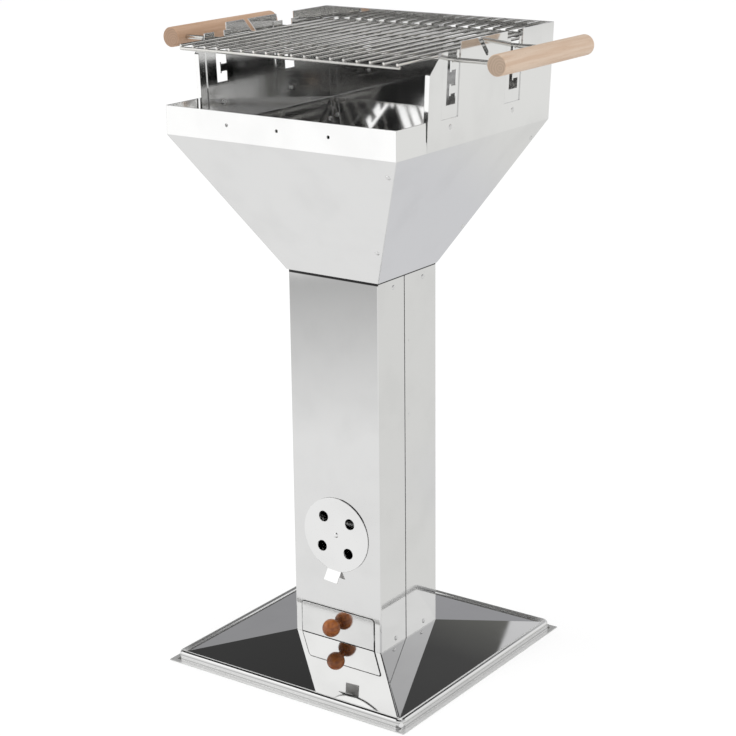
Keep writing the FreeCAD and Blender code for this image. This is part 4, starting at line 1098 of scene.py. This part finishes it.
@dataclass
class Studio:
    """The floor, the surroundings, the lamps and the camera."""

    floor_size: float = 60.0
    floor_drop: float = 0.2 * MM
    floor_paper: Triple = (0.96, 0.96, 0.96)
    paper_glow: float = 1.15
    glow_share: float = 0.5
    front_left: Triple = (-0.579, -0.815, 0.0)
    floor_level: float = 0.76
    floor_steps: tuple[FloorStep, ...] = (
        FloorStep(-0.2, 0.4, 0.11),
        FloorStep(1.03, 2.2, -0.37, soft=False),
        FloorStep(2.25, 2.5, 0.70),
        FloorStep(2.0, 4.2, 0.09, ahead=False),
        FloorStep(4.9, 6.4, -0.20, ahead=False),
    )
    warm_from: Span = (-0.2, 0.3)
    warm: Triple = (1.0, 1.0, 0.985)
    # A painted shadow of the barbecue on the floor, seen only in the metal.
    painted_shadow_centre: Triple = (0.12, 0.85, 0.0)
    painted_shadow_edges: Span = (0.2, 0.5)
    painted_shadow_depth: float = 0.065
    shade_tint: Triple = (0.985, 0.99, 1.02)
    backdrop: tuple[tuple[float, Triple], ...] = (
        (0.0, (0.335, 0.335, 0.35)),
        (0.13, (0.33, 0.33, 0.345)),
        (0.20, (0.305, 0.305, 0.315)),
        (0.35, (0.19, 0.19, 0.185)),
        (0.547, (0.155, 0.155, 0.145)),
        (0.570, (0.070, 0.070, 0.070)),
        (0.66, (0.040, 0.040, 0.040)),
        (0.74, DARK),
    )
    walls: tuple[Wall, ...] = (PALE_PANEL, WINDOW, FRONT_WALL, RIGHT_WALL, STRIP_LIGHT)
    skylight: Triple = (1.2, 1.2, 1.2)
    skylight_edges: Span = (0.90, 0.95)
    even_light: Triple = (0.90, 0.90, 0.90)
    lamps: tuple[SoftLamp, ...] = (
        SoftLamp("lamp_left", (-2.2, -1.6, 3.0), 2.0, 22.0),
        SoftLamp("lamp_right", (2.4, 0.6, 2.6), 1.6, 8.0),
    )
    lamp_target: Triple = (0.0, 0.0, 0.5)
    camera_place: Triple = (1.5128, -2.1192, 1.2230)
    camera_turn: float = 35.38
    camera_tilt: float = 17.08
    camera_roll: float = -0.63
    camera_lens: float = 94.87
    camera_sensor: float = 36.0
    camera_clip: Span = (0.05, 100.0)

    def build(self) -> None:
        """Set up everything that isn't part of the barbecue."""
        self._floor()
        self._surroundings()
        self._lamps()
        self._camera()
        bpy.context.scene.view_settings.view_transform = "Standard"

    def _floor(self) -> None:
        """Lay a white floor, which the metal mirrors as paper that greys with distance."""
        half = self.floor_size / 2
        corners = [(-half, -half, 0), (half, -half, 0), (half, half, 0), (-half, half, 0)]
        mesh = bpy.data.meshes.new("studio_floor")
        mesh.from_pydata(corners, [], [(0, 1, 2, 3)])
        floor = bpy.data.objects.new("studio_floor", mesh)
        bpy.context.scene.collection.objects.link(floor)
        floor.location.z = -self.floor_drop
        material = bpy.data.materials.new("studio_floor")
        material.use_nodes = True
        board = NodeBoard(material.node_tree)
        paper = board.node("ShaderNodeBsdfDiffuse", inputs={"Color": colour(*self.floor_paper)})
        glow = board.emission(colour(1.0, 1.0, 1.0), self.paper_glow)
        lit = board.either(self.glow_share * board.ray("Is Camera Ray"), paper, glow)
        shown = board.either(board.ray("Is Glossy Ray"), lit, board.emission(self._mirrored_floor(board)))
        board.node("ShaderNodeOutputMaterial", inputs={"Surface": shown})
        floor.data.materials.append(material)

    def _mirrored_floor(self, board: NodeBoard) -> Signal:
        """The floor's colour in the metal, with a painted shadow of the barbecue behind it.

        Args:
            board: the floor's nodes.

        Returns:
            The colour, with its level.
        """
        forwards = board.along(board.place(), self.front_left)
        backwards = -1.0 * forwards
        level = self.floor_level
        for step in self.floor_steps:
            distance = forwards if step.ahead else backwards
            change = distance.above if step.soft else distance.ramp
            level = level + step.gain * change(step.start, step.end)
        # Painted shadow of the barbecue on the floor as the metal mirrors it.
        apart = board.vector("DISTANCE", {0: board.place(), 1: self.painted_shadow_centre}, "Value")
        shade = 1.0 - apart.above(*self.painted_shadow_edges)
        tint = board.blend(backwards.ramp(*self.warm_from), colour(1.0, 1.0, 1.0), colour(*self.warm))
        tint = board.blend(shade, tint, colour(*self.shade_tint))
        return board.vector("SCALE", {0: tint, "Scale": level - self.painted_shadow_depth * shade})

    def _surroundings(self) -> None:
        """White behind the barbecue, an even light on it, and a dark room with lit walls in the metal."""
        world = bpy.data.worlds.new("studio")
        bpy.context.scene.world = world
        world.use_nodes = True
        board = NodeBoard(world.node_tree)
        tones = (colour(*self.even_light), self._room(board), colour(1.0, 1.0, 1.0))
        even, room, white = (board.node("ShaderNodeBackground", inputs={"Color": tone}) for tone in tones)
        shown = board.either(board.ray("Is Glossy Ray"), even, room)
        shown = board.either(board.ray("Is Camera Ray"), shown, white)
        board.node("ShaderNodeOutputWorld", inputs={"Surface": shown})

    def _room(self, board: NodeBoard) -> Signal:
        """The room as the metal mirrors it.

        Args:
            board: the world's nodes.

        Returns:
            The room's colour in each direction.
        """
        direction = board.node("ShaderNodeTexCoord", output="Generated")
        rise = board.part(direction, "Z")
        flat = board.vector("NORMALIZE", {0: board.stretched(direction, (1.0, 1.0, 0.0))})
        room = board.node("ShaderNodeValToRGB", {"stops": self.backdrop}, {0: rise})
        for wall in self.walls:
            tone: Value = colour(*wall.lowest)
            for edges, next_tone in wall.layers:
                tone = board.blend(rise.above(*edges), tone, colour(*next_tone))
            cover = board.along(flat, wall.direction).above(*wall.spread)
            if wall.foot is not None:
                cover = cover * rise.above(*wall.foot)
            room = board.blend(cover, room, tone)
        return board.blend(rise.above(*self.skylight_edges), room, colour(*self.skylight))

    def _lamps(self) -> None:
        """Hang the soft lamps, which the metal doesn't mirror."""
        for lamp in self.lamps:
            data = bpy.data.lights.new(lamp.name, "AREA")
            data.size = lamp.size
            data.energy = lamp.power
            hung = bpy.data.objects.new(lamp.name, data)
            bpy.context.scene.collection.objects.link(hung)
            hung.location = lamp.place
            aim = Vector(self.lamp_target) - Vector(lamp.place)
            hung.rotation_euler = aim.to_track_quat("-Z", "Y").to_euler()
            hung.visible_glossy = False

    def _camera(self) -> None:
        """Stand the camera where the photograph was taken from."""
        data = bpy.data.cameras.new("camera")
        data.sensor_width = self.camera_sensor
        data.lens = self.camera_lens
        data.clip_start, data.clip_end = self.camera_clip
        camera = bpy.data.objects.new("camera", data)
        bpy.context.scene.collection.objects.link(camera)
        turn = Matrix.Rotation(math.radians(self.camera_turn), 4, "Z")
        tilt = Matrix.Rotation(math.radians(90.0 - self.camera_tilt), 4, "X")
        roll = Matrix.Rotation(math.radians(self.camera_roll), 4, "Z")
        camera.matrix_world = Matrix.Translation(Vector(self.camera_place)) @ turn @ tilt @ roll
        bpy.context.scene.camera = camera


def main() -> None:
    """Dress the frame, build the pieces that replace nodes, and set up the studio."""
    logging.basicConfig(level=logging.INFO, format="%(name)s: %(message)s")
    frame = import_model()
    SheetMetal(frame).dress()
    Fasteners(frame).dress()
    Grips().build()
    DrawerKnob().build()
    WireGrate("cooking_grate", "cooking_grid", count=18).build()
    WireGrate("charcoal_grate", "charcoal_grid", count=15).build()
    GrateRods().build()
    SpotDimples().build()
    Studio().build()


if __name__ == "__main__":
    main()
